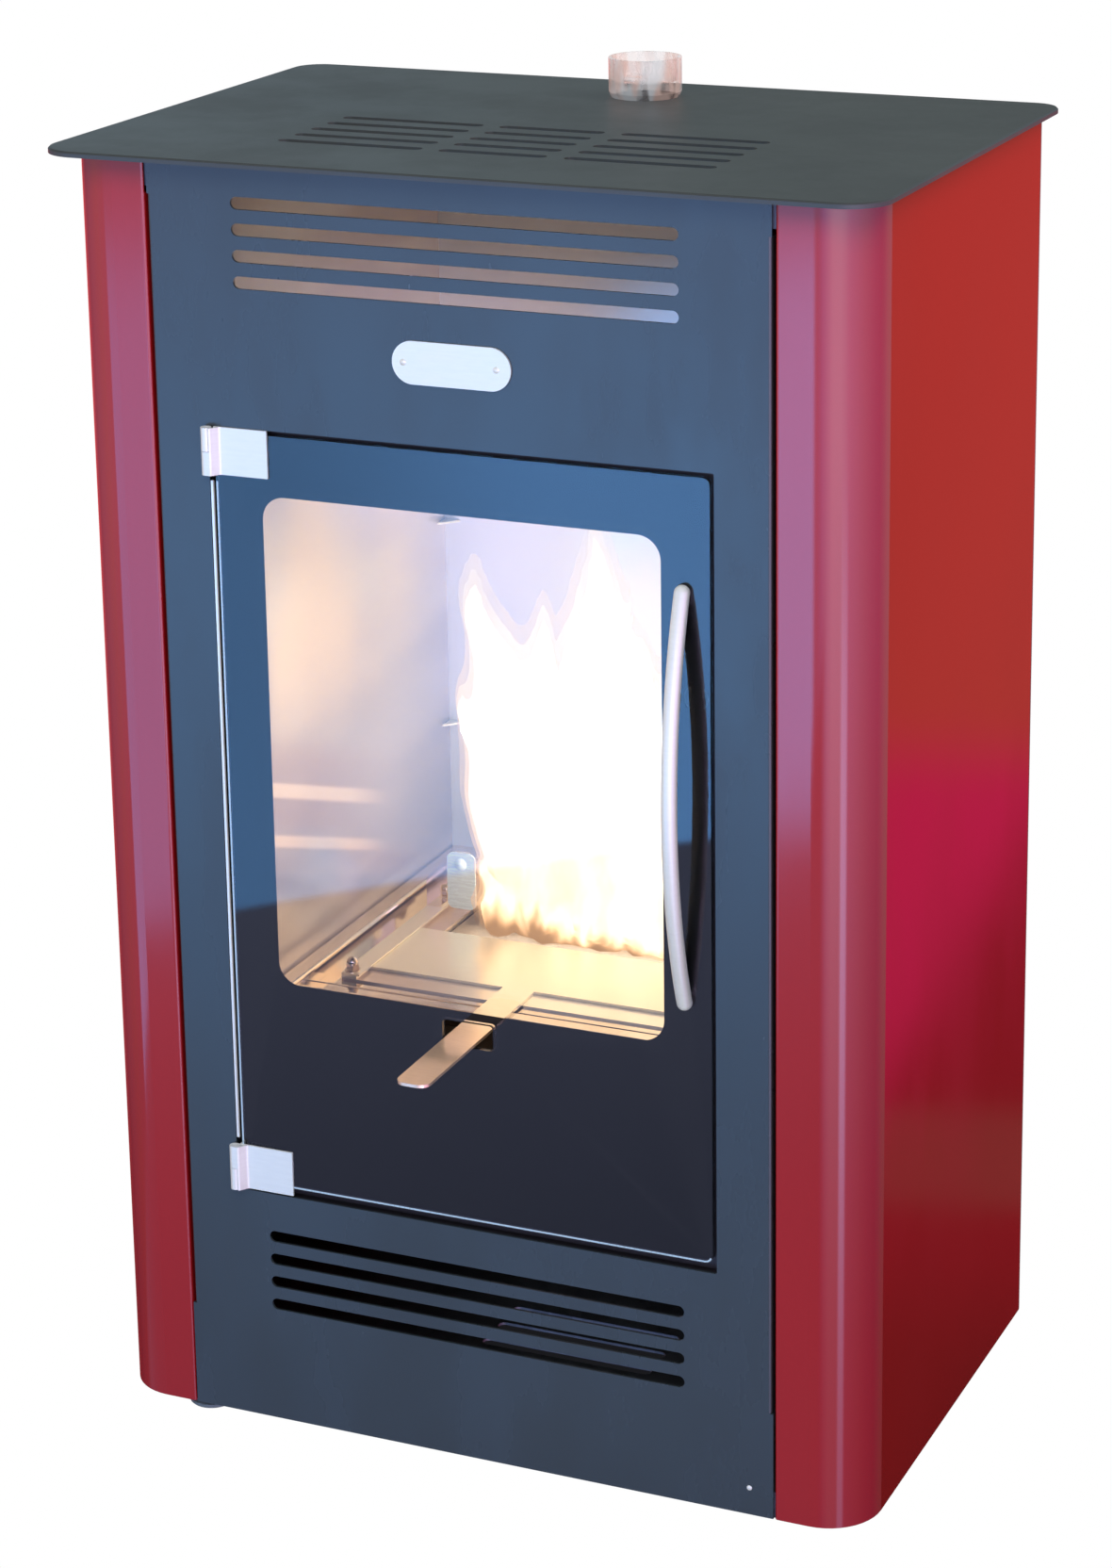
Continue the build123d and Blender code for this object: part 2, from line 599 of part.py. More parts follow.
def door_enamel():
    """Opaque film on the back of the pane, left clear at the window."""
    film = span(
        (GLASS_LEFT + ENAMEL_INSET, GLASS_RIGHT - ENAMEL_INSET),
        (GLASS_BOTTOM + ENAMEL_INSET, GLASS_TOP - ENAMEL_INSET),
        GLASS_CORNER - ENAMEL_INSET,
    )
    film -= span((WINDOW_LEFT, WINDOW_RIGHT), (WINDOW_BOTTOM, WINDOW_TOP), WINDOW_CORNER)
    film -= glass_slot(ENAMEL_INSET)
    film -= [Pos(HANDLE_X, z) * Circle(GLASS_HOLE_RADIUS + ENAMEL_INSET) for z in seat_levels()]
    return facing(film, (GLASS_THICKNESS, DOOR_BACK))


def glass_slot(grow):
    """Outline of the slot that the regulator's tongue passes through."""
    half_width = GLASS_SLOT_WIDTH / 2 + grow
    x_range = (GLASS_SLOT_SHIFT - half_width, GLASS_SLOT_SHIFT + half_width)
    return span(x_range, (SLOT_BOTTOM - grow, SLOT_TOP + grow), GLASS_SLOT_CORNER + grow)


def hinge_span(which):
    """Lower and upper end of a hinge."""
    low = UPPER_HINGE_TOP - HINGE_HEIGHT if which == "upper" else LOWER_HINGE_BOTTOM
    return low, low + HINGE_HEIGHT


def fixed_knuckle_span(which):
    """The fixed knuckle is the outer half of each hinge, so the door is held up and down."""
    low, high = hinge_span(which)
    middle = (low + high) / 2
    return (middle + KNUCKLE_GAP / 2, high) if which == "upper" else (low, middle - KNUCKLE_GAP / 2)


def door_knuckle_span(which):
    """The door's knuckle is the inner half of each hinge."""
    low, high = hinge_span(which)
    middle = (low + high) / 2
    return (low, middle - KNUCKLE_GAP / 2) if which == "upper" else (middle + KNUCKLE_GAP / 2, high)


def fixed_knuckle_room(which):
    """The height that the clamp leaves free for the fixed knuckle."""
    low, high = hinge_span(which)
    middle = (low + high) / 2
    if which == "upper":
        return middle - KNUCKLE_GAP / 2, high + PAST
    return low - PAST, middle + KNUCKLE_GAP / 2


def bracket_leaf_span(which):
    """The leaf is shorter than its knuckle, clear of the opening's corner."""
    low, high = fixed_knuckle_span(which)
    return (low, high - BRACKET_SETBACK) if which == "upper" else (low + BRACKET_SETBACK, high)


def hinge_bracket(which):
    """Fixed knuckle, its leaf through the gap beside the glass, and the flange behind the panel."""
    z_range = fixed_knuckle_span(which)
    leaf_z = bracket_leaf_span(which)
    leaf_left = -OPENING_HALF_WIDTH + TOUCH
    back = PANEL_SHEET + HINGE_SHEET
    bracket = hinge_cylinder(KNUCKLE_RADIUS, z_range)
    bracket += block((leaf_left, leaf_left + HINGE_SHEET), (HINGE_Y, back), leaf_z)
    bracket += block((leaf_left - BRACKET_FLANGE, leaf_left + HINGE_SHEET), (PANEL_SHEET, back), leaf_z)
    return bracket - hinge_cylinder(PIN_RADIUS + PIN_TIGHT_FIT, z_range)


def hinge_clamp(which):
    """Plates on both faces of the glass, joined round its edge, with the jogged leaf and its knuckle."""
    z_range = hinge_span(which)
    knuckle = door_knuckle_span(which)
    plate_left = GLASS_LEFT + TOUCH
    plate_right = GLASS_LEFT + CLAMP_REACH
    front_face = -HINGE_SHEET
    web_left = GLASS_LEFT - TOUCH - HINGE_SHEET
    rear = (DOOR_BACK, DOOR_BACK + HINGE_SHEET)
    jog = folded(
        [
            (HINGE_X, HINGE_Y - KNUCKLE_RADIUS),
            (HINGE_X + CLAMP_JOG_START, HINGE_Y - KNUCKLE_RADIUS),
            (HINGE_X + CLAMP_JOG_START + CLAMP_JOG_RUN, front_face),
            (plate_right - PAST, front_face),
        ],
        [CLAMP_JOG_OUTER_BEND, CLAMP_JOG_INNER_BEND],
        HINGE_SHEET,
    )
    clamp = block((plate_left, plate_right), (front_face, 0), z_range)
    clamp += block((plate_left, GLASS_LEFT + CLAMP_REAR_REACH), rear, z_range)
    clamp += block((web_left, GLASS_LEFT - TOUCH), (front_face, rear[1]), knuckle)
    clamp += block((web_left, plate_left), (front_face, 0), knuckle)
    clamp += block((web_left, plate_left), rear, knuckle)
    leaf = upright(jog, z_range)
    leaf -= hinge_cylinder(KNUCKLE_RADIUS + KNUCKLE_CLEARANCE, fixed_knuckle_room(which))
    clamp += leaf
    clamp += hinge_cylinder(KNUCKLE_RADIUS, knuckle)
    return clamp - hinge_cylinder(PIN_RADIUS + PIN_RUNNING_FIT, knuckle)


def hinge_pins():
    """One pin through the two knuckles of each hinge."""
    pins = []
    for which in ("upper", "lower"):
        low, high = hinge_span(which)
        pins.append(hinge_cylinder(PIN_RADIUS, (low + PIN_SETBACK, high - PIN_SETBACK)))
    return Part() + pins


def handle_radius():
    """Radius of the handle's bow."""
    return (HANDLE_HALF_LENGTH**2 + HANDLE_BOW**2) / (2 * HANDLE_BOW)


def seat_levels():
    """Heights of the two handle screws."""
    reach = HANDLE_HALF_LENGTH - SEAT_FROM_END
    return HANDLE_Z - reach, HANDLE_Z + reach


def screw_tip():
    """Depth that the handle screws reach in front of the glass."""
    return -WASHER_THICKNESS - HANDLE_SCREW_DEPTH


def door_handle():
    """Bowed bar with round ends, flat where it stands on the washers."""
    tip = (-HANDLE_END_OUT, HANDLE_Z - HANDLE_HALF_LENGTH)
    middle = (-HANDLE_END_OUT - HANDLE_BOW, HANDLE_Z)
    other = (-HANDLE_END_OUT, HANDLE_Z + HANDLE_HALF_LENGTH)
    path = Plane.YZ.offset(HANDLE_X) * ThreePointArc(tip, middle, other)
    bar = sweep(Plane(path @ 0, z_dir=path % 0) * Circle(HANDLE_RADIUS), path=path)
    bar += [Pos(*(path @ end)) * Sphere(HANDLE_RADIUS) for end in (0, 1)]
    reach = HANDLE_HALF_LENGTH + HANDLE_RADIUS + PAST
    sides = (HANDLE_X - HANDLE_RADIUS - PAST, HANDLE_X + HANDLE_RADIUS + PAST)
    bar -= block(sides, (-WASHER_THICKNESS, HANDLE_RADIUS), (HANDLE_Z - reach, HANDLE_Z + reach))
    for z in seat_levels():
        bar -= facing(Pos(HANDLE_X, z) * Circle(HANDLE_SCREW_RADIUS + PIN_TIGHT_FIT), (screw_tip(), 0))
    return bar


def handle_washers():
    """Fibre washers between the handle and the glass, and under the screw heads."""
    washer = Circle(WASHER_RADIUS) - Circle(HANDLE_SCREW_RADIUS + TOUCH)
    depths = ((-WASHER_THICKNESS, 0), (DOOR_BACK, DOOR_BACK + WASHER_THICKNESS))
    return Part() + [facing(Pos(HANDLE_X, z) * washer, y) for z in seat_levels() for y in depths]


def handle_screws():
    """Two screws through the glass into the handle's seats."""
    head_face = DOOR_BACK + WASHER_THICKNESS
    screws = []
    for z in seat_levels():
        shank = facing(Pos(HANDLE_X, z) * Circle(HANDLE_SCREW_RADIUS), (screw_tip(), head_face))
        head = Pos(HANDLE_X, z) * Circle(HANDLE_SCREW_HEAD_RADIUS)
        screws.append(shank + facing(head, (head_face, head_face + HANDLE_SCREW_HEAD)))
    return Part() + screws


def strike_disc():
    """Steel disc on the back of the glass, which the magnet holds."""
    return facing(Pos(CATCH_X, CATCH_Z) * Circle(CATCH_RADIUS), (DOOR_BACK, DOOR_BACK + STRIKE_THICKNESS))


def magnetic_catch():
    """Round magnet on the stop."""
    face = DOOR_BACK + STRIKE_THICKNESS + FIT
    return facing(Pos(CATCH_X, CATCH_Z) * Circle(CATCH_RADIUS), (face, STOP_FACE))


def badge_z():
    """Height of the name plate's middle."""
    return OPENING_TOP + BADGE_ABOVE_OPENING


def badge_plate():
    """Bare plate with rounded ends and two rivet holes."""
    outline = Pos(0, badge_z()) * SlotOverall(BADGE_LENGTH, BADGE_HEIGHT)
    outline -= [Pos(x, badge_z()) * Circle(RIVET_RADIUS / 2) for x in rivet_places()]
    return facing(outline, (-BADGE_THICKNESS, 0))


def rivet_places():
    """Distances of the name plate's rivets from the middle."""
    return RIVET_SHIFT - RIVET_SPACING / 2, RIVET_SHIFT + RIVET_SPACING / 2


def badge_rivets():
    """Domed rivets through the name plate."""
    rivets = []
    for x in rivet_places():
        place = Pos(x, -BADGE_THICKNESS, badge_z()) * Rot(X=90)
        dome = place * dome_solid(RIVET_RADIUS, RIVET_HEIGHT)
        shank = facing(Pos(x, badge_z()) * Circle(RIVET_RADIUS / 2 - PIN_TIGHT_FIT), (-BADGE_THICKNESS, 0))
        rivets.append(dome + shank)
    return Part() + rivets


def dome_solid(radius, height):
    """A shallow dome standing on the XY plane."""
    sphere = (radius**2 + height**2) / (2 * height)
    half_section = (Pos(0, height - sphere) * Circle(sphere)) & span((0, radius), (0, height))
    return revolve(Plane.XZ * half_section, axis=Axis.Z)


def chamber_side():
    """Right wall of the fire chamber, with a flange on the stop."""
    section = folded(
        [
            (CHAMBER_HALF_WIDTH, CHAMBER_BACK),
            (CHAMBER_HALF_WIDTH, STOP_BACK),
            (CHAMBER_HALF_WIDTH + CHAMBER_FLANGE, STOP_BACK),
        ],
        CHAMBER_BEND,
        CHAMBER_SHEET,
    )
    return upright(section, (CHAMBER_FLOOR, CHAMBER_TOP))


def chamber_back():
    """Back wall of the fire chamber."""
    half_width = CHAMBER_HALF_WIDTH + CHAMBER_FLANGE
    outline = span((-half_width, half_width), (CHAMBER_FLOOR, CHAMBER_TOP))
    return facing(outline, (CHAMBER_BACK, CHAMBER_BACK + CHAMBER_SHEET))


def chamber_floor():
    """Tray under the burner."""
    half_width = CHAMBER_HALF_WIDTH - FIT
    outline = span((-half_width, half_width), (STOP_BACK + FIT, CHAMBER_BACK - FIT), LID_CORNER)
    return tray(outline, CHAMBER_SHEET, (CHAMBER_FLOOR, CHAMBER_FLOOR + CHAMBER_FLOOR_EDGE))


def chamber_clips():
    """Small gussets that join the walls in the two back corners."""
    clips = []
    for level in (LOWER_CLIP_LEVEL, UPPER_CLIP_LEVEL):
        for sign in (-1, 1):
            x = sign * (CHAMBER_HALF_WIDTH - TOUCH)
            y = CHAMBER_BACK - TOUCH
            gusset = Polyline((x, y), (x - sign * CLIP_LEG, y), (x, y - CLIP_LEG), close=True)
            clips.append(upright(make_face(gusset), (level, level + RAIL_SHEET)))
    return Part() + clips


def chamber_stays():
    """Z-shaped stays between the back wall and the rear panel."""
    front = CHAMBER_BACK + CHAMBER_SHEET
    stays = []
    for level in (LOWER_STAY_LEVEL, UPPER_STAY_LEVEL):
        for sign in (-1, 1):
            x = sign * STAY_OFFSET_X
            web = (x - RAIL_SHEET / 2, x + RAIL_SHEET / 2)
            stay_z = (level, level + STAY_HEIGHT)
            stay = block(web, (front, REAR_FACE), stay_z)
            stay += block((x - STAY_FLANGE, x), (front, front + RAIL_SHEET), stay_z)
            stay += block((x, x + STAY_FLANGE), (REAR_FACE - RAIL_SHEET, REAR_FACE), stay_z)
            stays.append(stay)
    return Part() + stays


def side_rail():
    """Right rail: a bridge from the wall to a leg, and a flange under the edge of the lid."""
    wall = CHAMBER_HALF_WIDTH - TOUCH
    bridge = folded(
        [
            (wall, RAIL_TOP - RAIL_DROP),
            (wall, RAIL_TOP),
            (SIDE_LEG, RAIL_TOP),
            (SIDE_LEG, SIDE_FLANGE_TOP - RAIL_SHEET),
        ],
        [2 * RAIL_SHEET, 2 * RAIL_SHEET],
        RAIL_SHEET,
    )
    rail = facing(bridge, (SIDE_RAIL_FRONT, CHAMBER_BACK - TOUCH))
    flange_in = LID_HALF_WIDTH - RAIL_LIP
    flange_y = (LID_FRONT + RAIL_LIP, LID_BACK - RAIL_LIP)
    flange_z = (SIDE_FLANGE_TOP - RAIL_SHEET, SIDE_FLANGE_TOP)
    return rail + block((flange_in, SIDE_LEG + RAIL_SHEET), flange_y, flange_z)


def cross_rail_half_width():
    """Half length of the rails between the two side rails."""
    return SIDE_LEG - TOUCH


def front_rail():
    """Angle that carries the front edge of the lid."""
    section = folded(
        [
            (LID_FRONT + RAIL_LIP - FIT, LID_UNDERSIDE),
            (FRONT_LEG, LID_UNDERSIDE),
            (FRONT_LEG, LID_UNDERSIDE - FRONT_BAR_HEIGHT),
        ],
        2 * RAIL_SHEET,
        RAIL_SHEET,
    )
    half = cross_rail_half_width()
    return crosswise(section, (-half, half))


def front_bar():
    """Polished bar in front of the lid, which the tongue runs over."""
    back = FRONT_LEG - TOUCH
    top = BURNER_LEVEL
    section = span((back - FRONT_BAR_DEPTH, back), (top - FRONT_BAR_HEIGHT, top))
    section = fillet(section.vertices().group_by(Axis.Y)[-1], FRONT_BAR_EDGE)
    half = cross_rail_half_width()
    return crosswise(section, (-half, half))


def rear_rail():
    """Step that carries the back edge of the lid and closes the gap to the back wall."""
    section = folded(
        [
            (CHAMBER_BACK - TOUCH, RAIL_TOP),
            (REAR_LEG, RAIL_TOP),
            (REAR_LEG, LID_UNDERSIDE),
            (LID_BACK - RAIL_LIP + FIT, LID_UNDERSIDE),
        ],
        [2 * RAIL_SHEET, TOUCH],
        RAIL_SHEET,
    )
    half = cross_rail_half_width()
    return crosswise(section, (-half, half))


def tank_limits():
    """Plan limits of the tank."""
    half = LID_HALF_WIDTH - TANK_INSET_X
    return (-half, half), (LID_FRONT + TANK_INSET_Y, LID_BACK - TANK_INSET_Y)


def burner_tank():
    """Open stainless tank that hangs under the lid."""
    return tray(span(*tank_limits(), TANK_CORNER), TANK_SHEET, (TANK_BOTTOM, LID_UNDERSIDE))


def burner_wool():
    """Ceramic wool that soaks up the fuel in the tank."""
    outline = offset(span(*tank_limits(), TANK_CORNER), amount=-TANK_SHEET - WOOL_GAP)
    low = TANK_BOTTOM + TANK_SHEET + FIT
    return upright(outline, (low, low + WOOL_HEIGHT))


def nut_places():
    """Places of the four dome nuts."""
    return [(sign * NUT_X, y) for sign in (-1, 1) for y in (NUT_FRONT, NUT_BACK)]


def burner_lid():
    """Lid with the flame opening and the holes of the guides' studs."""
    plate = span((-LID_HALF_WIDTH, LID_HALF_WIDTH), (LID_FRONT, LID_BACK), LID_CORNER)
    flame_y = (FLAME_FRONT, FLAME_FRONT + FLAME_LENGTH)
    plate -= span((-FLAME_HALF_WIDTH, FLAME_HALF_WIDTH), flame_y, LID_CORNER)
    plate -= [Pos(x, y) * Circle(NUT_SHANK_RADIUS + TOUCH) for x, y in nut_places()]
    return upright(plate, (LID_UNDERSIDE, BURNER_LEVEL))


def slide_guide():
    """Right guide: a strip with a lip over the edge of the regulator plate."""
    section = Polyline(
        (GUIDE_INNER, BURNER_LEVEL),
        (GUIDE_OUTER, BURNER_LEVEL),
        (GUIDE_OUTER, GUIDE_TOP),
        (GUIDE_INNER - GUIDE_LIP, GUIDE_TOP),
        (GUIDE_INNER - GUIDE_LIP, GUIDE_LIP_LEVEL),
        (GUIDE_INNER, GUIDE_LIP_LEVEL),
        close=True,
    )
    guide = facing(make_face(section), (LID_FRONT + GUIDE_SETBACK, GUIDE_BACK))
    for y in (NUT_FRONT, NUT_BACK):
        hole = Pos(NUT_X, y) * Circle(NUT_SHANK_RADIUS + TOUCH)
        guide -= upright(hole, (BURNER_LEVEL - PAST, GUIDE_TOP + PAST))
    return guide


def dome_nut(x, y):
    """Stud with washer, hexagon and dome."""
    washer_top = GUIDE_TOP + NUT_WASHER
    hex_top = washer_top + NUT_HEX_HEIGHT
    nut = upright(Circle(NUT_SHANK_RADIUS), (LID_UNDERSIDE, GUIDE_TOP))
    nut += upright(Circle(NUT_WASHER_RADIUS), (GUIDE_TOP, washer_top))
    nut += upright(RegularPolygon(NUT_HEX_RADIUS, 6), (washer_top, hex_top))
    nut += upright(Circle(NUT_NECK_RADIUS), (hex_top, hex_top + NUT_NECK))
    dome = Pos(0, 0, hex_top + NUT_NECK) * dome_solid(NUT_DOME_RADIUS, NUT_DOME_RADIUS)
    return Pos(x, y, 0) * (nut + dome)


def dome_nuts():
    """The four dome nuts that hold the guides and the lid."""
    return Part() + [dome_nut(x, y) for x, y in nut_places()]


def regulator_slide():
    """Plate that covers the flame opening, in one piece with its tongue."""
    plate = span((-SLIDE_HALF_WIDTH, SLIDE_HALF_WIDTH), (SLIDE_FRONT, SLIDE_BACK))
    half_width = TONGUE_WIDTH / 2
    tongue_x = (TONGUE_SHIFT - half_width, TONGUE_SHIFT + half_width)
    tongue = span(tongue_x, (-TONGUE_REACH, SLIDE_FRONT + TONGUE_CORNER + PAST), TONGUE_CORNER)
    return upright(plate + tongue, (SLIDE_BOTTOM, SLIDE_TOP))


def latch_plate():
    """Plate with rounded corners that hangs from the dome screw."""
    middle = LATCH_PIVOT_Z + LATCH_PIVOT_DROP - LATCH_HEIGHT / 2
    outline = Pos(LATCH_PIVOT_X, middle) * RectangleRounded(LATCH_WIDTH, LATCH_HEIGHT, LATCH_CORNER)
    outline -= Pos(LATCH_PIVOT_X, LATCH_PIVOT_Z) * Circle(LATCH_SCREW_RADIUS + LATCH_RUNNING_FIT)
    return facing(outline, (LATCH_FRONT, LATCH_BACK))


def latch_bracket():
    """Bracket on the left guide that reaches behind the latch plate."""
    left = -GUIDE_OUTER
    right = -GUIDE_INNER
    arm_right = LATCH_PIVOT_X + LATCH_WIDTH / 2 - LATCH_DOME_RADIUS
    arm_top = LATCH_PIVOT_Z + LATCH_PIVOT_DROP + BRACKET_ABOVE_LATCH
    outline = Polyline(
        (left, GUIDE_TOP),
        (right, GUIDE_TOP),
        (right, GUIDE_TOP + BRACKET_SHOULDER),
        (arm_right, LATCH_PIVOT_Z - LATCH_PIVOT_DROP),
        (arm_right, arm_top),
        (LATCH_PIVOT_X - LATCH_DOME_RADIUS, arm_top),
        (left, GUIDE_TOP + BRACKET_SHOULDER + LATCH_DOME_RADIUS),
        close=True,
    )
    hole = Pos(LATCH_PIVOT_X, LATCH_PIVOT_Z) * Circle(LATCH_SCREW_RADIUS + PIN_TIGHT_FIT)
    face = (BRACKET_FACE, BRACKET_FACE + LATCH_SHEET)
    foot_z = (GUIDE_TOP, GUIDE_TOP + LATCH_SHEET)
    bracket = facing(make_face(outline) - hole, face)
    return bracket + block((left, right), (BRACKET_FACE, BRACKET_FACE + BRACKET_FOOT), foot_z)


def latch_screw():
    """Dome screw that the latch plate turns on."""
    seat = LATCH_FRONT - TOUCH
    place = Pos(LATCH_PIVOT_X, seat, LATCH_PIVOT_Z) * Rot(X=90)
    dome = place * dome_solid(LATCH_DOME_RADIUS, LATCH_DOME_HEIGHT)
    shank = Pos(LATCH_PIVOT_X, LATCH_PIVOT_Z) * Circle(LATCH_SCREW_RADIUS)
    return dome + facing(shank, (seat, BRACKET_FACE + 2 * LATCH_SHEET))


def scent_bowl():
    """Small clear bowl with a thick base."""
    inside = BOWL_RADIUS - BOWL_WALL
    section = Polyline(
        (0, 0),
        (BOWL_RADIUS - BOWL_FOOT_INSET, 0),
        (BOWL_RADIUS, BOWL_FOOT_HEIGHT),
        (BOWL_RADIUS, BOWL_HEIGHT),
        (inside, BOWL_HEIGHT),
        (inside, BOWL_BASE),
        (0, BOWL_BASE),
        close=True,
    )
    bowl = revolve(Plane.XZ * make_face(section), axis=Axis.Z)
    return Pos(BOWL_X, PLATE_BACK - BOWL_FROM_BACK, BODY_HEIGHT + TOP_THICKNESS) * bowl


def sub_parts():
    """Every sub-part of the stove by its name."""
    parts = {
        "base_pan": base_pan(),
        "top_frame": top_frame(),
        "top_plate": top_plate(),
        "front_panel": front_panel(),
        "rear_panel": rear_panel(),
        "door_frame": door_frame(),
        "door_seal": door_seal(),
        "door_glass": door_glass(),
        "door_enamel": door_enamel(),
        "hinge_pins": hinge_pins(),
        "door_handle": door_handle(),
        "handle_washers": handle_washers(),
        "handle_screws": handle_screws(),
        "strike_disc": strike_disc(),
        "magnetic_catch": magnetic_catch(),
        "badge_plate": badge_plate(),
        "badge_rivets": badge_rivets(),
        "chamber_back": chamber_back(),
        "chamber_floor": chamber_floor(),
        "chamber_clips": chamber_clips(),
        "chamber_stays": chamber_stays(),
        "front_rail": front_rail(),
        "front_bar": front_bar(),
        "rear_rail": rear_rail(),
        "burner_tank": burner_tank(),
        "burner_lid": burner_lid(),
        "burner_wool": burner_wool(),
        "dome_nuts": dome_nuts(),
        "regulator_slide": regulator_slide(),
        "latch_plate": latch_plate(),
        "latch_bracket": latch_bracket(),
        "latch_screw": latch_screw(),
        "scent_bowl": scent_bowl(),
    }
    pairs = {
        "side_casing": side_casing(),
        "chamber_side": chamber_side(),
        "side_rail": side_rail(),
        "slide_guide": slide_guide(),
    }
    for name, solid in pairs.items():
        for side, piece in both_sides(solid).items():
            parts[f"{name}_{side}"] = piece
    for which in ("upper", "lower"):
        parts[f"hinge_bracket_{which}"] = hinge_bracket(which)
        parts[f"hinge_clamp_{which}"] = hinge_clamp(which)
    for place, (x, y) in foot_places().items():
        parts[f"foot_{place}"] = foot(x, y)
    for side, sign in (("left", -1), ("right", 1)):
        parts[f"corner_post_front_{side}"] = corner_post(sign, True)
        parts[f"corner_post_rear_{side}"] = corner_post(sign, False)
    return parts


os.makedirs("parts", exist_ok=True)
for part_name, part_solid in sub_parts().items():
    export_step(Pos(0, -ORIGIN_Y, FOOT_HEIGHT) * part_solid, f"parts/{part_name}.step")
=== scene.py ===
import json
import math
import random

import bpy
from mathutils import Matrix, Vector, noise


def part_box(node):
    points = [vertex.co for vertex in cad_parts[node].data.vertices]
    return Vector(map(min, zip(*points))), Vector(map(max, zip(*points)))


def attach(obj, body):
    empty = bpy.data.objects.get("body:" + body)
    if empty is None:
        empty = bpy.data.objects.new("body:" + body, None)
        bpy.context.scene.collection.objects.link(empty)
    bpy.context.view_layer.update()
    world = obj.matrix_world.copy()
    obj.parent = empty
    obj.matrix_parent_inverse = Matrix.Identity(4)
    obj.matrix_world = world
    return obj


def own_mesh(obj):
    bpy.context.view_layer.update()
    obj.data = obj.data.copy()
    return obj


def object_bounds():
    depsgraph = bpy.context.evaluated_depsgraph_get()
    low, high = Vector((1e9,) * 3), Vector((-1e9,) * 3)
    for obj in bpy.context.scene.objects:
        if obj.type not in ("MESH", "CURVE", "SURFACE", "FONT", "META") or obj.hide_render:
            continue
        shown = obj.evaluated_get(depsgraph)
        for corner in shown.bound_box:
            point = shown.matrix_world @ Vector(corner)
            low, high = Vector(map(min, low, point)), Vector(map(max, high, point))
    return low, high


# Bioethanol stove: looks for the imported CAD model, with the burner alight.
# Metres in the row frame: X runs across the front, Y from the front to the back, Z up from the floor.

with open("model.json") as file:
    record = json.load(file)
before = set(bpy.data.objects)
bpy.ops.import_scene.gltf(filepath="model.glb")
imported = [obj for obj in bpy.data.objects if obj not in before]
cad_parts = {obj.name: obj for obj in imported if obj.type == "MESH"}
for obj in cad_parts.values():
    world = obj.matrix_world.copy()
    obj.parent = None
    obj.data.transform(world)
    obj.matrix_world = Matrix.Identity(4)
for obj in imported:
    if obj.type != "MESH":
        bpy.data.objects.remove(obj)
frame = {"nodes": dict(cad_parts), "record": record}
CAD_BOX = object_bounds()
NODES = frame["nodes"]
scene = bpy.context.scene
scene.view_settings.view_transform = "Standard"

# The photograph's camera
PHOTO_HEIGHT = 1664
FOCAL_PIXELS = 4087.69
SENSOR = 36.0
YAW = math.radians(23.34)
PITCH = math.radians(15.55)
ROLL = math.radians(-0.72)
CAMERA_SHIFT = (-0.0243, -0.1638)

# The drawing's origin is the front panel's face and the casing's lower edge; the regulator's tongue,
# which is what stands out furthest, reaches 81 mm in front of that face
FACE_Y = CAD_BOX[0][1] + 0.081
FLOOR_GAP = 0.008


def at(x, y, z):
    """A point of the part's drawing, in millimetres, in the row frame."""
    return Vector((x / 1000, y / 1000 + FACE_Y, z / 1000 + FLOOR_GAP))


def add_camera():
    """The camera at the photograph's viewing angle."""
    forward = Vector((-math.sin(YAW) * math.cos(PITCH), math.cos(YAW) * math.cos(PITCH), -math.sin(PITCH)))
    level_right = Vector((math.cos(YAW), math.sin(YAW), 0))
    level_up = level_right.cross(forward)
    right = math.cos(ROLL) * level_right + math.sin(ROLL) * level_up
    up = math.cos(ROLL) * level_up - math.sin(ROLL) * level_right
    camera = bpy.data.objects.new("camera", bpy.data.cameras.new("camera"))
    camera.data.sensor_width = SENSOR
    camera.data.lens = FOCAL_PIXELS / PHOTO_HEIGHT * SENSOR
    camera.data.shift_x, camera.data.shift_y = CAMERA_SHIFT
    turn = Matrix((right, up, -forward)).transposed().to_4x4()
    camera.matrix_world = Matrix.Translation(at(1083.55, -2273.91, 1401.91)) @ turn
    scene.collection.objects.link(camera)
    scene.camera = camera


# Node trees


def add(tree, kind, **settings):
    """A new node with its settings."""
    made = tree.nodes.new(kind)
    for name, value in settings.items():
        setattr(made, name, value)
    return made


def feed(tree, socket, value):
    """Link a socket into an input, or set the input's value."""
    if isinstance(value, bpy.types.NodeSocket):
        tree.links.new(value, socket)
    else:
        socket.default_value = value


def calc(tree, operation, *values, clamp=False):
    """One math node."""
    made = add(tree, "ShaderNodeMath", operation=operation, use_clamp=clamp)
    for socket, value in zip(made.inputs, values):
        feed(tree, socket, value)
    return made.outputs[0]


def remap(tree, value, start, end, low=0.0, high=1.0):
    """A smooth step of value from low at start to high at end."""
    made = add(tree, "ShaderNodeMapRange", interpolation_type="SMOOTHSTEP")
    for name, number in (("Value", value), ("From Min", start), ("From Max", end), ("To Min", low), ("To Max", high)):
        feed(tree, made.inputs[name], number)
    return made.outputs[0]


def window(tree, value, low, high, soft):
    """One between two limits, and smoothly nothing outside them."""
    rise = remap(tree, value, low - soft, low + soft)
    fall = remap(tree, value, high - soft, high + soft, 1.0, 0.0)
    return calc(tree, "MULTIPLY", rise, fall)


def blend_colour(tree, factor, first, second, mode="MIX"):
    """A colour mix node."""
    made = add(tree, "ShaderNodeMix", data_type="RGBA", blend_type=mode)
    feed(tree, made.inputs["Factor"], factor)
    feed(tree, made.inputs[6], first)
    feed(tree, made.inputs[7], second)
    return made.outputs[2]


def scaled(tree, colour, factor):
    """A colour times a number."""
    made = add(tree, "ShaderNodeVectorMath", operation="SCALE")
    feed(tree, made.inputs[0], colour)
    feed(tree, made.inputs["Scale"], factor)
    return made.outputs[0]


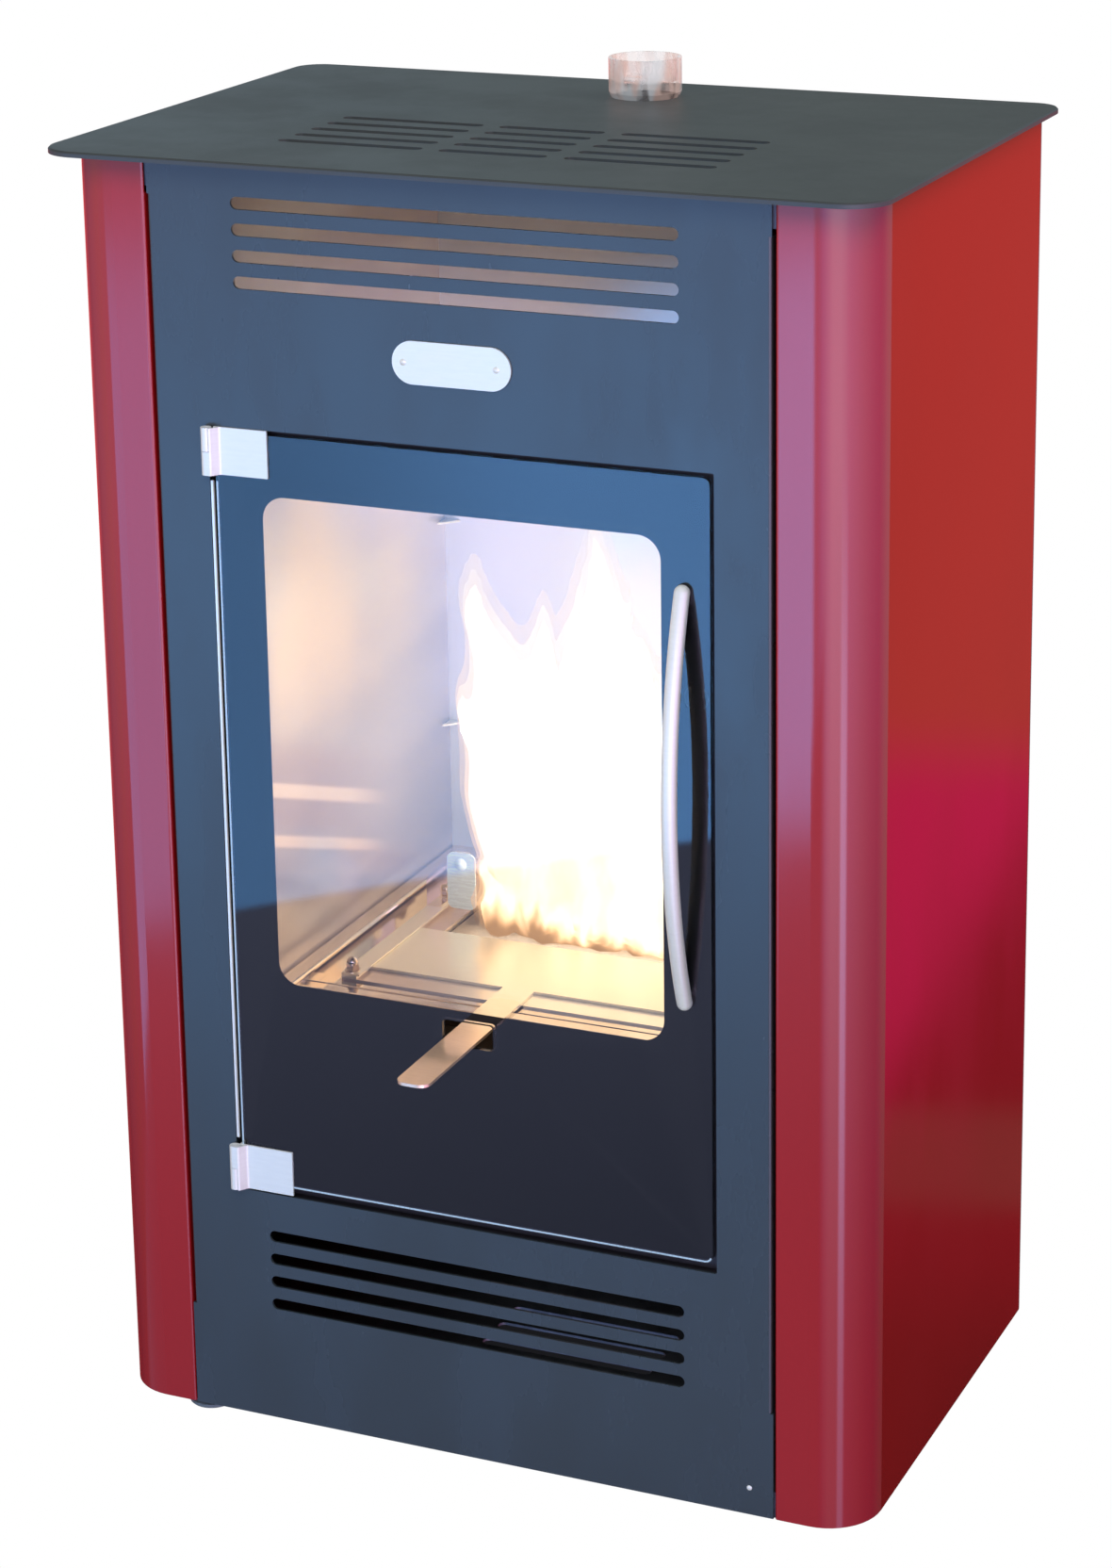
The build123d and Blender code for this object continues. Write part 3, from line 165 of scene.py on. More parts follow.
def solid(colour):
    """Four colour numbers from three."""
    return (*colour, 1.0)


def local(tree, stretch=(1, 1, 1)):
    """The piece's own coordinates, stretched."""
    source = add(tree, "ShaderNodeTexCoord").outputs["Object"]
    mapping = add(tree, "ShaderNodeMapping")
    tree.links.new(source, mapping.inputs["Vector"])
    mapping.inputs["Scale"].default_value = stretch
    return mapping.outputs["Vector"]


def grain(tree, vector, scale, detail=3.0, rough=0.5):
    """A noise value between 0 and 1."""
    made = add(tree, "ShaderNodeTexNoise")
    feed(tree, made.inputs["Vector"], vector)
    made.inputs["Scale"].default_value = scale
    made.inputs["Detail"].default_value = detail
    made.inputs["Roughness"].default_value = rough
    return made.outputs["Fac"]


def bump(tree, shader, height, distance, strength=1.0):
    """Give a shader a bump from a height value, in metres."""
    made = add(tree, "ShaderNodeBump")
    made.inputs["Strength"].default_value = strength
    made.inputs["Distance"].default_value = distance
    feed(tree, made.inputs["Height"], height)
    feed(tree, shader.inputs["Normal"], made.outputs["Normal"])


def new_material(name, **values):
    """A material with its Principled shader's constant values set."""
    made = bpy.data.materials.new(name)
    made.use_nodes = True
    shader = made.node_tree.nodes["Principled BSDF"]
    for key, value in values.items():
        shader.inputs[key.replace("_", " ")].default_value = value
    return made, made.node_tree, shader


def painted(name, light, dark, gloss, grain_scale, grain_depth, coat=0.0, speck=0.04):
    """Paint or powder coat: two near shades, a fine surface grain and faint handling marks."""
    made, tree, shader = new_material(name, Coat_Weight=coat, Coat_Roughness=0.04)
    place = local(tree)
    cloud = grain(tree, place, 4.0, 2.0)
    fine = grain(tree, place, grain_scale, 4.0, 0.6)
    shade = calc(tree, "ADD", calc(tree, "MULTIPLY", cloud, 0.7), calc(tree, "MULTIPLY", fine, 0.3))
    feed(tree, shader.inputs["Base Color"], blend_colour(tree, remap(tree, shade, 0.3, 0.7), solid(dark), solid(light)))
    smear = grain(tree, local(tree, (1, 1, 0.35)), 11.0, 5.0, 0.6)
    feed(tree, shader.inputs["Roughness"], remap(tree, smear, 0.35, 0.7, gloss - speck, gloss + speck))
    bump(tree, shader, fine, grain_depth)
    return made


def metal(name, light, dark, rough, stretch, scale=60.0, metallic=1.0, depth=0.00002, spread=0.08):
    """Brushed or rolled metal, with its grain drawn out along one direction."""
    made, tree, shader = new_material(name, Metallic=metallic)
    lines = grain(tree, local(tree, stretch), scale, 6.0, 0.7)
    cloud = grain(tree, local(tree), 7.0, 3.0)
    shade = calc(tree, "ADD", calc(tree, "MULTIPLY", cloud, 0.5), calc(tree, "MULTIPLY", lines, 0.5))
    feed(tree, shader.inputs["Base Color"], blend_colour(tree, remap(tree, shade, 0.3, 0.7), solid(dark), solid(light)))
    feed(tree, shader.inputs["Roughness"], remap(tree, shade, 0.25, 0.75, rough - spread, rough + spread))
    bump(tree, shader, lines, depth)
    return made


def tint_and_firelight_steel(name, first, last, axis, start, end, rough):
    """Brushed steel whose colour changes along one axis: a heat tint on the slide, and on the lid a painted firelight.
    """
    made, tree, shader = new_material(name, Metallic=0.65)
    split = add(tree, "ShaderNodeSeparateXYZ")
    feed(tree, split.inputs[0], local(tree))
    lines = grain(tree, local(tree, (1, 10, 1)), 60.0, 6.0, 0.7)
    cloud = calc(tree, "MULTIPLY_ADD", grain(tree, local(tree), 12.0, 2.0), 0.06, split.outputs[axis])
    tint = blend_colour(tree, remap(tree, cloud, start + 0.03, end + 0.03), solid(first), solid(last))
    feed(tree, shader.inputs["Base Color"], scaled(tree, tint, remap(tree, lines, 0.3, 0.7, 0.93, 1.0)))
    feed(tree, shader.inputs["Roughness"], remap(tree, lines, 0.25, 0.75, rough - 0.04, rough + 0.04))
    bump(tree, shader, lines, 0.000004)
    return made


def galvanised(name, dark, light, metallic=0.85):
    """Zinc-coated sheet with its spangle."""
    made, tree, shader = new_material(name, Metallic=metallic)
    cells = add(tree, "ShaderNodeTexVoronoi")
    feed(tree, cells.inputs["Vector"], local(tree))
    cells.inputs["Scale"].default_value = 70.0
    cells.inputs["Randomness"].default_value = 1.0
    value = calc(tree, "FRACT", calc(tree, "MULTIPLY", cells.outputs["Color"], 3.7))
    feed(tree, shader.inputs["Base Color"], blend_colour(tree, value, solid(dark), solid(light)))
    feed(tree, shader.inputs["Roughness"], remap(tree, value, 0.0, 1.0, 0.46, 0.48))
    bump(tree, shader, grain(tree, local(tree), 300.0), 0.00001)
    return made


def clear(name, tint, gloss, smudge, veil, back=None, speck=0.05):
    """Clear glass: what is behind shows through, with a sharp reflection and faint smears."""
    made = bpy.data.materials.new(name)
    made.use_nodes = True
    tree = made.node_tree
    tree.nodes.clear()
    output = add(tree, "ShaderNodeOutputMaterial")
    through = add(tree, "ShaderNodeBsdfTransparent")
    through.inputs["Color"].default_value = solid(tint)
    mirror = add(tree, "ShaderNodeBsdfPrincipled")
    mirror.inputs["Base Color"].default_value = solid(veil)
    mirror.inputs["Specular IOR Level"].default_value = 1.0
    mirror.inputs["Metallic"].default_value = 1.0
    mark = grain(tree, local(tree, (1, 1, 0.5)), 14.0, 5.0, 0.65)
    feed(tree, mirror.inputs["Roughness"], remap(tree, mark, 0.4, 0.8, gloss, gloss + speck))
    facing = add(tree, "ShaderNodeFresnel")
    facing.inputs["IOR"].default_value = 1.5
    share = calc(tree, "ADD", facing.outputs["Fac"], calc(tree, "MULTIPLY", mark, smudge), clamp=True)
    if back:
        split = add(tree, "ShaderNodeSeparateXYZ")
        feed(tree, split.inputs[0], local(tree))
        share = calc(tree, "MULTIPLY", share, remap(tree, split.outputs["Y"], back, back + 0.0005, 1.0, 0.25))
    mix = add(tree, "ShaderNodeMixShader")
    feed(tree, mix.inputs["Fac"], share)
    tree.links.new(through.outputs[0], mix.inputs[1])
    tree.links.new(mirror.outputs[0], mix.inputs[2])
    tree.links.new(mix.outputs[0], output.inputs["Surface"])
    return made


def heat_tint_and_painted_reflection():
    """Polished sheet beside the fire: warm wisps licking up it, partly heat tint and partly a painted reflection of the
    flames, a grey that turns lighter and warmer higher up, and painted reflections in a brown band and two bright
    slanted lines.
    """
    made, tree, shader = new_material("heat_tint_and_painted_reflection", Metallic=0.6)
    split = add(tree, "ShaderNodeSeparateXYZ")
    feed(tree, split.inputs[0], local(tree))
    up = calc(tree, "MULTIPLY", remap(tree, split.outputs["Z"], at(0, 0, 460).z, at(0, 0, 600).z),
              remap(tree, split.outputs["Z"], at(0, 0, 670).z, at(0, 0, 800).z, 1.0, 0.0))
    along = remap(tree, split.outputs["Y"], at(0, 330, 0).y, at(0, 150, 0).y)
    wisps = remap(tree, grain(tree, local(tree, (1, 1, 0.35)), 13.0, 1.0, 0.4), 0.28, 0.64, 0.08, 1.0)
    # Warm wisps: partly heat tint, partly a painted reflection of the flames
    tint = calc(tree, "MULTIPLY", calc(tree, "MULTIPLY", up, along), wisps)
    bands = grain(tree, local(tree, (0.2, 0.2, 1)), 24.0, 1.0, 0.5)
    lower = blend_colour(tree, remap(tree, bands, 0.40, 0.60), solid((0.48, 0.44, 0.45)), solid((0.56, 0.52, 0.53)))
    upper = blend_colour(tree, remap(tree, bands, 0.40, 0.60), solid((0.74, 0.64, 0.56)), solid((0.82, 0.73, 0.62)))
    # Grey low down, lighter and warmer higher up
    plain = blend_colour(tree, remap(tree, split.outputs["Z"], at(0, 0, 470).z, at(0, 0, 630).z), lower, upper)
    # Painted reflections: two thin bright slanted lines and a wide brown band
    slope = calc(tree, "MULTIPLY_ADD", split.outputs["Y"], 0.36, split.outputs["Z"])
    level = 0.36 * FACE_Y
    lines = calc(tree, "ADD", window(tree, slope, at(0, 0, 488).z + level, at(0, 0, 499).z + level, 0.002),
                 window(tree, slope, at(0, 0, 450).z + level, at(0, 0, 459).z + level, 0.002))
    lines = calc(tree, "MULTIPLY", lines, remap(tree, split.outputs["Y"], at(0, 235, 0).y, at(0, 150, 0).y, 0.0, 0.8))
    brown = calc(tree, "MULTIPLY", window(tree, slope, at(0, 0, 462).z + level, at(0, 0, 530).z + level, 0.014),
                 remap(tree, split.outputs["Y"], at(0, 260, 0).y, at(0, 90, 0).y, 0.0, 0.6))
    plain = blend_colour(tree, brown, plain, solid((0.46, 0.32, 0.28)))
    plain = blend_colour(tree, lines, plain, solid((0.98, 0.84, 0.72)))
    feed(tree, shader.inputs["Base Color"], blend_colour(tree, tint, plain, solid((1.0, 0.80, 0.56))))
    feed(tree, shader.inputs["Roughness"], remap(tree, wisps, 0.0, 1.0, 0.20, 0.23))
    bump(tree, shader, grain(tree, local(tree, (9, 9, 1)), 30.0, 6.0, 0.7), 0.000004)
    return made


def moulded_glass():
    """Thick moulded glass: half clear, half painted with the highlights and reflections its facets catch, as patches of
    salmon and pale blue.
    """
    made = bpy.data.materials.new("bowl_glass")
    made.use_nodes = True
    tree = made.node_tree
    tree.nodes.clear()
    output = add(tree, "ShaderNodeOutputMaterial")
    through = add(tree, "ShaderNodeBsdfTransparent")
    through.inputs["Color"].default_value = solid((0.98, 0.95, 0.95))
    body = add(tree, "ShaderNodeBsdfPrincipled")
    facets = grain(tree, local(tree, (1, 1, 0.3)), 75.0, 1.0, 0.4)
    # Salmon and pale blue patches: painted highlights and reflections in the facets
    feed(tree, body.inputs["Base Color"], blend_colour(tree, remap(tree, facets, 0.40, 0.60), solid((1.0, 0.72, 0.63)), solid((0.93, 0.97, 1.0))))
    body.inputs["Roughness"].default_value = 0.10
    bump(tree, body, facets, 0.0003)
    rim = add(tree, "ShaderNodeLayerWeight")
    rim.inputs["Blend"].default_value = 0.35
    filled = remap(tree, grain(tree, local(tree, (1, 1, 0.5)), 100.0, 1.0), 0.40, 0.60, 0.12, 0.50)
    mix = add(tree, "ShaderNodeMixShader")
    feed(tree, mix.inputs["Fac"], calc(tree, "MULTIPLY_ADD", rim.outputs["Facing"], 0.35, filled, clamp=True))
    tree.links.new(through.outputs[0], mix.inputs[1])
    tree.links.new(body.outputs[0], mix.inputs[2])
    tree.links.new(mix.outputs[0], output.inputs["Surface"])
    return made


def flame_material(name, root, low, high, strength, cover, streak, thin=0.35):
    """Burning gas: glowing, and more see-through toward its root, its tips and between its streaks."""
    made = bpy.data.materials.new(name)
    made.use_nodes = True
    tree = made.node_tree
    tree.nodes.clear()
    output = add(tree, "ShaderNodeOutputMaterial")
    place = add(tree, "ShaderNodeTexCoord").outputs["Object"]
    split = add(tree, "ShaderNodeSeparateXYZ")
    feed(tree, split.inputs[0], place)
    height = remap(tree, split.outputs["Z"], at(0, 0, 330).z, at(0, 0, 620).z)
    wisps = grain(tree, local(tree, (1, 1, 0.28)), streak, 3.0, 0.55)
    ragged = calc(tree, "MULTIPLY_ADD", grain(tree, local(tree, (1, 1, 0.35)), 48.0, 2.0), 0.07, split.outputs["Z"])
    ragged = calc(tree, "ADD", ragged, remap(tree, split.outputs["X"], at(-70, 0, 0).x, at(30, 0, 0).x, -0.016, 0.0))
    rooted = remap(tree, ragged, at(0, 0, 350).z, at(0, 0, 396).z)
    glow = add(tree, "ShaderNodeEmission")
    body = blend_colour(tree, height, solid(low), solid(high))
    feed(tree, glow.inputs["Color"], blend_colour(tree, rooted, solid(root), body))
    glow.inputs["Strength"].default_value = strength
    clear_air = add(tree, "ShaderNodeBsdfTransparent")
    fade = calc(tree, "MULTIPLY", remap(tree, ragged, at(0, 0, 350).z, at(0, 0, 390).z, 0.04, 1.0),
                remap(tree, split.outputs["Z"], at(0, 0, 560).z, at(0, 0, 680).z, 1.0, 0.30))
    share = calc(tree, "MULTIPLY", remap(tree, wisps, 0.3, 0.62, cover * thin, cover), fade, clamp=True)
    mix = add(tree, "ShaderNodeMixShader")
    feed(tree, mix.inputs["Fac"], share)
    tree.links.new(clear_air.outputs[0], mix.inputs[1])
    tree.links.new(glow.outputs[0], mix.inputs[2])
    tree.links.new(mix.outputs[0], output.inputs["Surface"])
    return made


GLASS_MIDDLE = (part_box("door_glass")[0][1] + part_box("door_glass")[1][1]) / 2
MATERIALS = {
    "casing_red": painted("casing_red", (0.47, 0.009, 0.012), (0.44, 0.008, 0.011), 0.08, 260.0, 0.000002, speck=0.015),
    "panel_slate": painted("panel_slate", (0.037, 0.050, 0.060), (0.032, 0.044, 0.053), 0.27, 900.0, 0.00002),
    "plate_dark": painted("plate_dark", (0.056, 0.064, 0.062), (0.043, 0.050, 0.049), 0.44, 900.0, 0.00002),
    "frame_dark": painted("frame_dark", (0.020, 0.018, 0.022), (0.012, 0.011, 0.014), 0.6, 700.0, 0.00002),
    "zinc": galvanised("zinc", (0.51, 0.56, 0.60), (0.54, 0.59, 0.63)),
    "zinc_rear": galvanised("zinc_rear", (0.46, 0.48, 0.50), (0.55, 0.57, 0.59), 0.1),
    # Near-black zinc: painted shade for the zinc parts that lie in the cabinet's shadow
    "zinc_painted_shade": galvanised("zinc_painted_shade", (0.055, 0.056, 0.062), (0.09, 0.09, 0.10)),
    "stainless": metal("stainless", (0.95, 0.98, 0.97), (0.88, 0.91, 0.91), 0.38, (1, 1, 9), metallic=0.2, depth=0.000006),
    "burner_steel": metal("burner_steel", (0.97, 0.92, 0.80), (0.88, 0.82, 0.70), 0.20, (1, 10, 1), metallic=0.65, depth=0.000004, spread=0.04),
    # The lid is painted darker at its left end and brighter toward the flames: painted firelight
    "lid_painted_firelight": tint_and_firelight_steel("lid_painted_firelight", (0.72, 0.58, 0.50), (1.0, 0.97, 0.86), "X", at(-130, 0, 0).x, at(40, 0, 0).x, 0.20),
    "slide_steel": tint_and_firelight_steel("slide_steel", (0.94, 0.70, 0.52), (1.0, 0.95, 0.80), "Y", at(0, 0, 0).y, at(0, 60, 0).y, 0.20),
    "polished": metal("polished", (0.90, 0.79, 0.66), (0.78, 0.67, 0.55), 0.12, (9, 9, 1), 30.0, 1.0, 0.000004, 0.04),
    "heat_tint_and_painted_reflection": heat_tint_and_painted_reflection(),
    # The latch's bluish white is a painted reflection of the room's blue light
    "latch_painted_blue_sheen": metal("latch_painted_blue_sheen", (0.78, 0.92, 1.0), (0.70, 0.85, 0.96), 0.3, (1, 1, 9), metallic=0.1, depth=0.000003),
    "back_sheet": metal("back_sheet", (0.70, 0.72, 0.74), (0.66, 0.69, 0.71), 0.30, (1, 1, 6), 30.0, 0.4, 0.000001, 0.02),
    "glass": clear("glass", (0.97, 0.985, 0.985), 0.002, 0.004, (0.96, 0.98, 1.0), GLASS_MIDDLE, 0.006),
    "bowl_glass": moulded_glass(),
    "enamel": painted("enamel", (0.0215, 0.0225, 0.028), (0.0205, 0.0215, 0.0265), 0.3, 400.0, 0.0000005, speck=0.02),
    "seal": painted("seal", (0.05, 0.05, 0.05), (0.03, 0.03, 0.03), 0.8, 500.0, 0.0001),
    "wool": painted("wool", (0.85, 0.83, 0.78), (0.70, 0.67, 0.62), 0.9, 240.0, 0.0006),
    "foot": painted("foot", (0.22, 0.28, 0.35), (0.16, 0.21, 0.27), 0.5, 500.0, 0.00003),
    "magnet": painted("magnet", (0.06, 0.06, 0.06), (0.04, 0.04, 0.04), 0.6, 500.0, 0.00003),
}
MATERIALS["enamel"].node_tree.nodes["Principled BSDF"].inputs["Specular IOR Level"].default_value = 0.0
# Nodes whose finish isn't that of their slot's other pieces
FINISH = {"chamber_back": "back_sheet", "chamber_side_left": "heat_tint_and_painted_reflection", "chamber_side_right": "heat_tint_and_painted_reflection"}
FINISH.update({"burner_lid": "lid_painted_firelight", "regulator_slide": "slide_steel", "latch_bracket": "polished",
               "rear_panel": "zinc_rear"})
FINISH.update(dict.fromkeys(("burner_tank", "slide_guide_left", "slide_guide_right"), "burner_steel"))
FINISH["dome_nuts"] = "polished"
FINISH.update(dict.fromkeys(("latch_plate", "latch_screw"), "latch_painted_blue_sheen"))
# Zinc parts in shade get the painted-shade zinc
FINISH.update(dict.fromkeys(("base_pan", "top_frame", "corner_post_front_left", "corner_post_front_right",
                             "corner_post_rear_left", "corner_post_rear_right"), "zinc_painted_shade"))


def dress_nodes():
    """Give every CAD node its material."""
    for row in frame["record"]["subparts"]:
        name = FINISH.get(row["node"], row["material_slot"])
        for slot in NODES[row["node"]].material_slots:
            slot.material = MATERIALS[name]


# The fire


def tongue(vertices, faces, base, tip, half_width, half_depth, grow, seed):
    """A closed flame tongue between its base and its tip, waved by noise."""
    rings, sides = 30, 20
    first = len(vertices)
    for ring in range(rings + 1):
        v = ring / rings
        swell = math.sin(math.pi * min(1.0, 0.20 + 0.60 * v)) ** 0.9 * (1 - v**2.6) ** 0.8
        centre = base.lerp(tip, v)
        sway = 0.014 * v * noise.noise(Vector((seed * 3.1, 4.0 * v, 0.0)))
        centre += Vector((sway + 0.004 * math.sin(9 * v + seed), 0.5 * sway, 0))
        for side in range(sides):
            angle = 2 * math.pi * side / sides
            lump = 1 + 0.30 * noise.noise(Vector((math.cos(angle) * 1.4 + seed, math.sin(angle) * 1.4, v * 5.0 + seed)))
            reach = max(0.02, swell * lump * grow)
            vertices.append(centre + Vector((half_width * reach * math.cos(angle), half_depth * reach * math.sin(angle), 0)))
    for ring in range(rings):
        for side in range(sides):
            a = first + ring * sides + side
            b = first + ring * sides + (side + 1) % sides
            faces.append((a, b, b + sides, a + sides))
    faces.append(tuple(first + rings * sides + side for side in range(sides)))
    faces.append(tuple(first + side for side in reversed(range(sides))))


# Base x and y, tip x, y and z, half width and depth, in millimetres of the drawing
TALL_TONGUES = [
    (-42, 224, -44, 226, 578, 36, 22),
    (0, 224, 2, 226, 606, 44, 24),
    (50, 224, 46, 226, 560, 42, 24),
    (84, 222, 90, 222, 545, 30, 22),
    (-44, 222, -88, 224, 606, 30, 16),
    (2, 226, 6, 226, 650, 32, 16),
    (32, 224, 36, 226, 590, 24, 15),
    (60, 224, 70, 226, 578, 24, 16),
    (-56, 222, -100, 222, 516, 20, 13),
]


def short_tongues():
    """The row of small flames along the opening's front edge."""
    rng = random.Random(7)
    row = []
    for index in range(16):
        x = -66 + index * 10.6 + rng.uniform(-4, 4)
        y = 196 + rng.uniform(0, 12)
        height = rng.uniform(36, 84)
        row.append((x, y, x + rng.uniform(-9, 9), y + 4, 326 + height, rng.uniform(10, 16), rng.uniform(7, 11)))
    return row


def flame_shell(name, grow, look):
    """One shell of the fire: the tongues joined into one body with licked, waving edges."""
    vertices, faces = [], []
    for seed, (bx, by, tx, ty, tz, width, depth) in enumerate(TALL_TONGUES + short_tongues()):
        top = at(tx, ty, 322 + (tz - 322) * (0.80 + 0.20 * grow))
        tongue(vertices, faces, at(bx, by, 322), top, width / 1000, depth / 1000, grow, seed * 1.7)
    mesh = bpy.data.meshes.new(name + "_tongues")
    mesh.from_pydata(vertices, [], faces)
    piece = bpy.data.objects.new(name, mesh)
    scene.collection.objects.link(piece)
    join = piece.modifiers.new("join", "REMESH")
    join.mode = "VOXEL"
    join.voxel_size = 0.004
    soft = piece.modifiers.new("soft", "SMOOTH")
    soft.factor = 0.5
    soft.iterations = 5
    joined = bpy.data.meshes.new_from_object(piece.evaluated_get(bpy.context.evaluated_depsgraph_get()))
    piece.modifiers.clear()
    piece.data = joined
    joined.name = name
    base = at(0, 0, 322).z
    for vertex in joined.vertices:
        lick = min(1.0, max(0.0, (vertex.co.z - base) / 0.12))
        wave = noise.noise_vector(Vector((vertex.co.x * 26, vertex.co.y * 26, vertex.co.z * 9)))
        vertex.co.x += 0.007 * lick * wave.x
        vertex.co.y += 0.004 * lick * wave.y
        vertex.co.z = max(base, vertex.co.z)
    joined.materials.clear()
    joined.materials.append(look)
    joined.shade_smooth()
    return piece


ROOT = (1.0, 0.50, 0.20)


def add_flames():
    """Nested shells of flame: a soft outer veil, a middle and a bright core."""
    layers = (
        ("flame_veil", 1.40, flame_material("flame_veil", ROOT, (1.0, 0.56, 0.30), (1.0, 0.74, 0.54), 1.10, 0.34, 34.0)),
        ("flame_skin", 1.18, flame_material("flame_skin", ROOT, (1.0, 0.62, 0.34), (1.0, 0.80, 0.60), 1.3, 0.50, 30.0)),
        ("flame_body", 0.98, flame_material("flame_body", ROOT, (1.0, 0.80, 0.56), (1.0, 0.90, 0.78), 1.9, 0.75, 28.0)),
        ("flame_core", 0.80, flame_material("flame_core", ROOT, (1.0, 0.95, 0.86), (1.0, 0.97, 0.93), 3.4, 1.7, 22.0, 0.9)),
    )
    for name, grow, look in layers:
        piece = flame_shell(name, grow, look)
        piece.visible_shadow = False
        piece.visible_diffuse = False
        piece.visible_glossy = name != "flame_core"
        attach(piece, "cabinet")
        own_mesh(piece)


# Thin trim, with strips that paint glints


def strip(name, body, path, width, front, thickness, look):
    """A flat strip with bevelled long edges along a path of x, z points of the door's face."""
    across = [(-0.5, 0.35), (-0.35, 0.0), (0.35, 0.0), (0.5, 0.35), (0.5, 1.0), (-0.5, 1.0)]
    vertices, faces = [], []
    for index, (x, z) in enumerate(path):
        before = Vector(path[max(0, index - 1)])
        after = Vector(path[min(len(path) - 1, index + 1)])
        run = (after - before).normalized()
        side = Vector((-run.y, run.x))
        if 0 < index < len(path) - 1:
            first = (Vector(path[index]) - before).normalized()
            side /= max(0.5, abs(Vector((-first.y, first.x)).dot(side)))
        for offset, deep in across:
            spot = Vector((x, z)) + side * offset * width
            vertices.append(at(spot.x, front + deep * thickness, spot.y))
    count = len(across)
    for index in range(len(path) - 1):
        for edge in range(count):
            a = index * count + edge
            b = index * count + (edge + 1) % count
            faces.append((a, b, b + count, a + count))
    faces.append(tuple(range(count)))
    faces.append(tuple(reversed(range((len(path) - 1) * count, len(path) * count))))
    mesh = bpy.data.meshes.new(name)
    mesh.from_pydata(vertices, [], faces)
    mesh.materials.append(look)
    piece = bpy.data.objects.new(name, mesh)
    scene.collection.objects.link(piece)
    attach(piece, body)
    return piece


def add_panel_screw():
    """The small domed screw low on the front panel's right edge."""
    profile = [(0.0, -0.55), (0.9, -0.48), (1.6, -0.26), (2.0, 0.0), (2.0, 0.3)]
    sides = 24
    vertices, faces = [at(212.2, profile[0][1], 20.8)], []
    for reach, deep in profile[1:]:
        for side in range(sides):
            turn = 2 * math.pi * side / sides
            vertices.append(at(212.2 + reach * math.cos(turn), deep, 20.8 + reach * math.sin(turn)))
    for side in range(sides):
        faces.append((0, 1 + (side + 1) % sides, 1 + side))
    for ring in range(len(profile) - 2):
        for side in range(sides):
            a = 1 + ring * sides + side
            b = 1 + ring * sides + (side + 1) % sides
            faces.append((a, b, b + sides, a + sides))
    last = 1 + (len(profile) - 2) * sides
    faces.append(tuple(last + side for side in range(sides)))
    mesh = bpy.data.meshes.new("panel_screw")
    mesh.from_pydata(vertices, [], faces)
    mesh.materials.append(MATERIALS["stainless"])
    mesh.shade_smooth()
    piece = bpy.data.objects.new("panel_screw", mesh)
    scene.collection.objects.link(piece)
    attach(piece, "cabinet")


def add_trim():
    """Painted glints: a bright strip beside the pane's hinge edge for the light caught on the frame there, and a light
    blue strip on the pane's ground edge, a painted reflection.
    """
    # A white painted highlight strip and a light blue painted reflection strip
    bright = metal("trim_painted_glint", (0.98, 0.98, 0.98), (0.90, 0.90, 0.92), 0.25, (9, 9, 1), metallic=0.2, depth=0.000002)
    ground = metal("edge_painted_glint", (0.62, 0.78, 0.90), (0.50, 0.68, 0.82), 0.30, (9, 9, 1), metallic=0.15, depth=0.000002)
    strip("opening_painted_glint", "cabinet", [(-187.0, 222), (-187.0, 470), (-187.0, 718)], 2.4, 0.3, 1.7, bright)
    left, low, right = -182.6, 189.6, 184.4
    path = [(left, 718), (left, 470), (left, low + 5)]
    path += [(left + 5 - 5 * math.cos(turn), low + 5 - 5 * math.sin(turn)) for turn in (0.4, 0.8, 1.2)]
    path += [(left + 5, low), (0, low), (right - 5, low)]
    path += [(right - 5 + 5 * math.sin(turn), low + 5 - 5 * math.cos(turn)) for turn in (0.4, 0.8, 1.2)]
    strip("pane_edge_painted_glint", "door", path, 1.3, -0.12, 0.16, ground)


# Light


def add_area(name, place, aim, size, power, colour=(1, 1, 1), seen=False):
    """A soft rectangular light that isn't itself seen."""
    lamp = bpy.data.lights.new(name, "AREA")
    lamp.shape = "RECTANGLE"
    lamp.size, lamp.size_y = size
    lamp.energy = power
    lamp.color = colour
    made = bpy.data.objects.new(name, lamp)
    made.location = place
    made.rotation_euler = (Vector(aim) - Vector(place)).to_track_quat("-Z", "Y").to_euler()
    made.visible_glossy = seen
    made.visible_camera = False
    scene.collection.objects.link(made)


# Place in the drawing and power
FIRE_LIGHTS = [(-40, 214, 430, 0.40), (45, 214, 400, 0.45), (-10, 222, 560, 0.50), (45, 140, 400, 0.30)]


def add_fire_light():
    """The light that the flames give to the liner and the burner."""
    for index, (x, y, z, power) in enumerate(FIRE_LIGHTS):
        lamp = bpy.data.lights.new(f"fire_{index}", "POINT")
        lamp.energy = power
        lamp.color = (1.0, 0.72, 0.48)
        lamp.shadow_soft_size = 0.05
        made = bpy.data.objects.new(f"fire_{index}", lamp)
        made.location = at(x, y, z)
        made.visible_glossy = False
        scene.collection.objects.link(made)


# What reflections see round the object, as azimuth in degrees from the front and its colour
ROOM = [
    (-180, 0.30, 0.20, 0.25),
    (-165, 0.40, 0.25, 0.25),
    (-150, 1.20, 0.16, 0.12),
    (-131, 1.00, 0.12, 0.15),
    (-111, 0.40, 0.20, 0.32),
    (-91, 0.60, 0.50, 0.75),
    (-71, 0.90, 0.85, 1.10),
    (-64, 0.95, 0.95, 1.35),
    (-9, 1.10, 1.20, 2.10),
    (0, 1.50, 1.75, 3.90),
    (20, 4.00, 3.50, 5.40),
    (36, 4.00, 3.50, 5.40),
    (52, 3.20, 2.30, 4.20),
    (81, 2.50, 1.60, 2.80),
    (101, 2.00, 1.00, 2.00),
    (121, 1.60, 0.60, 1.30),
    (145, 1.20, 0.60, 0.80),
    (156, 0.80, 0.45, 0.50),
    (180, 0.30, 0.25, 0.30),
]
BRIGHTEST = 6.0


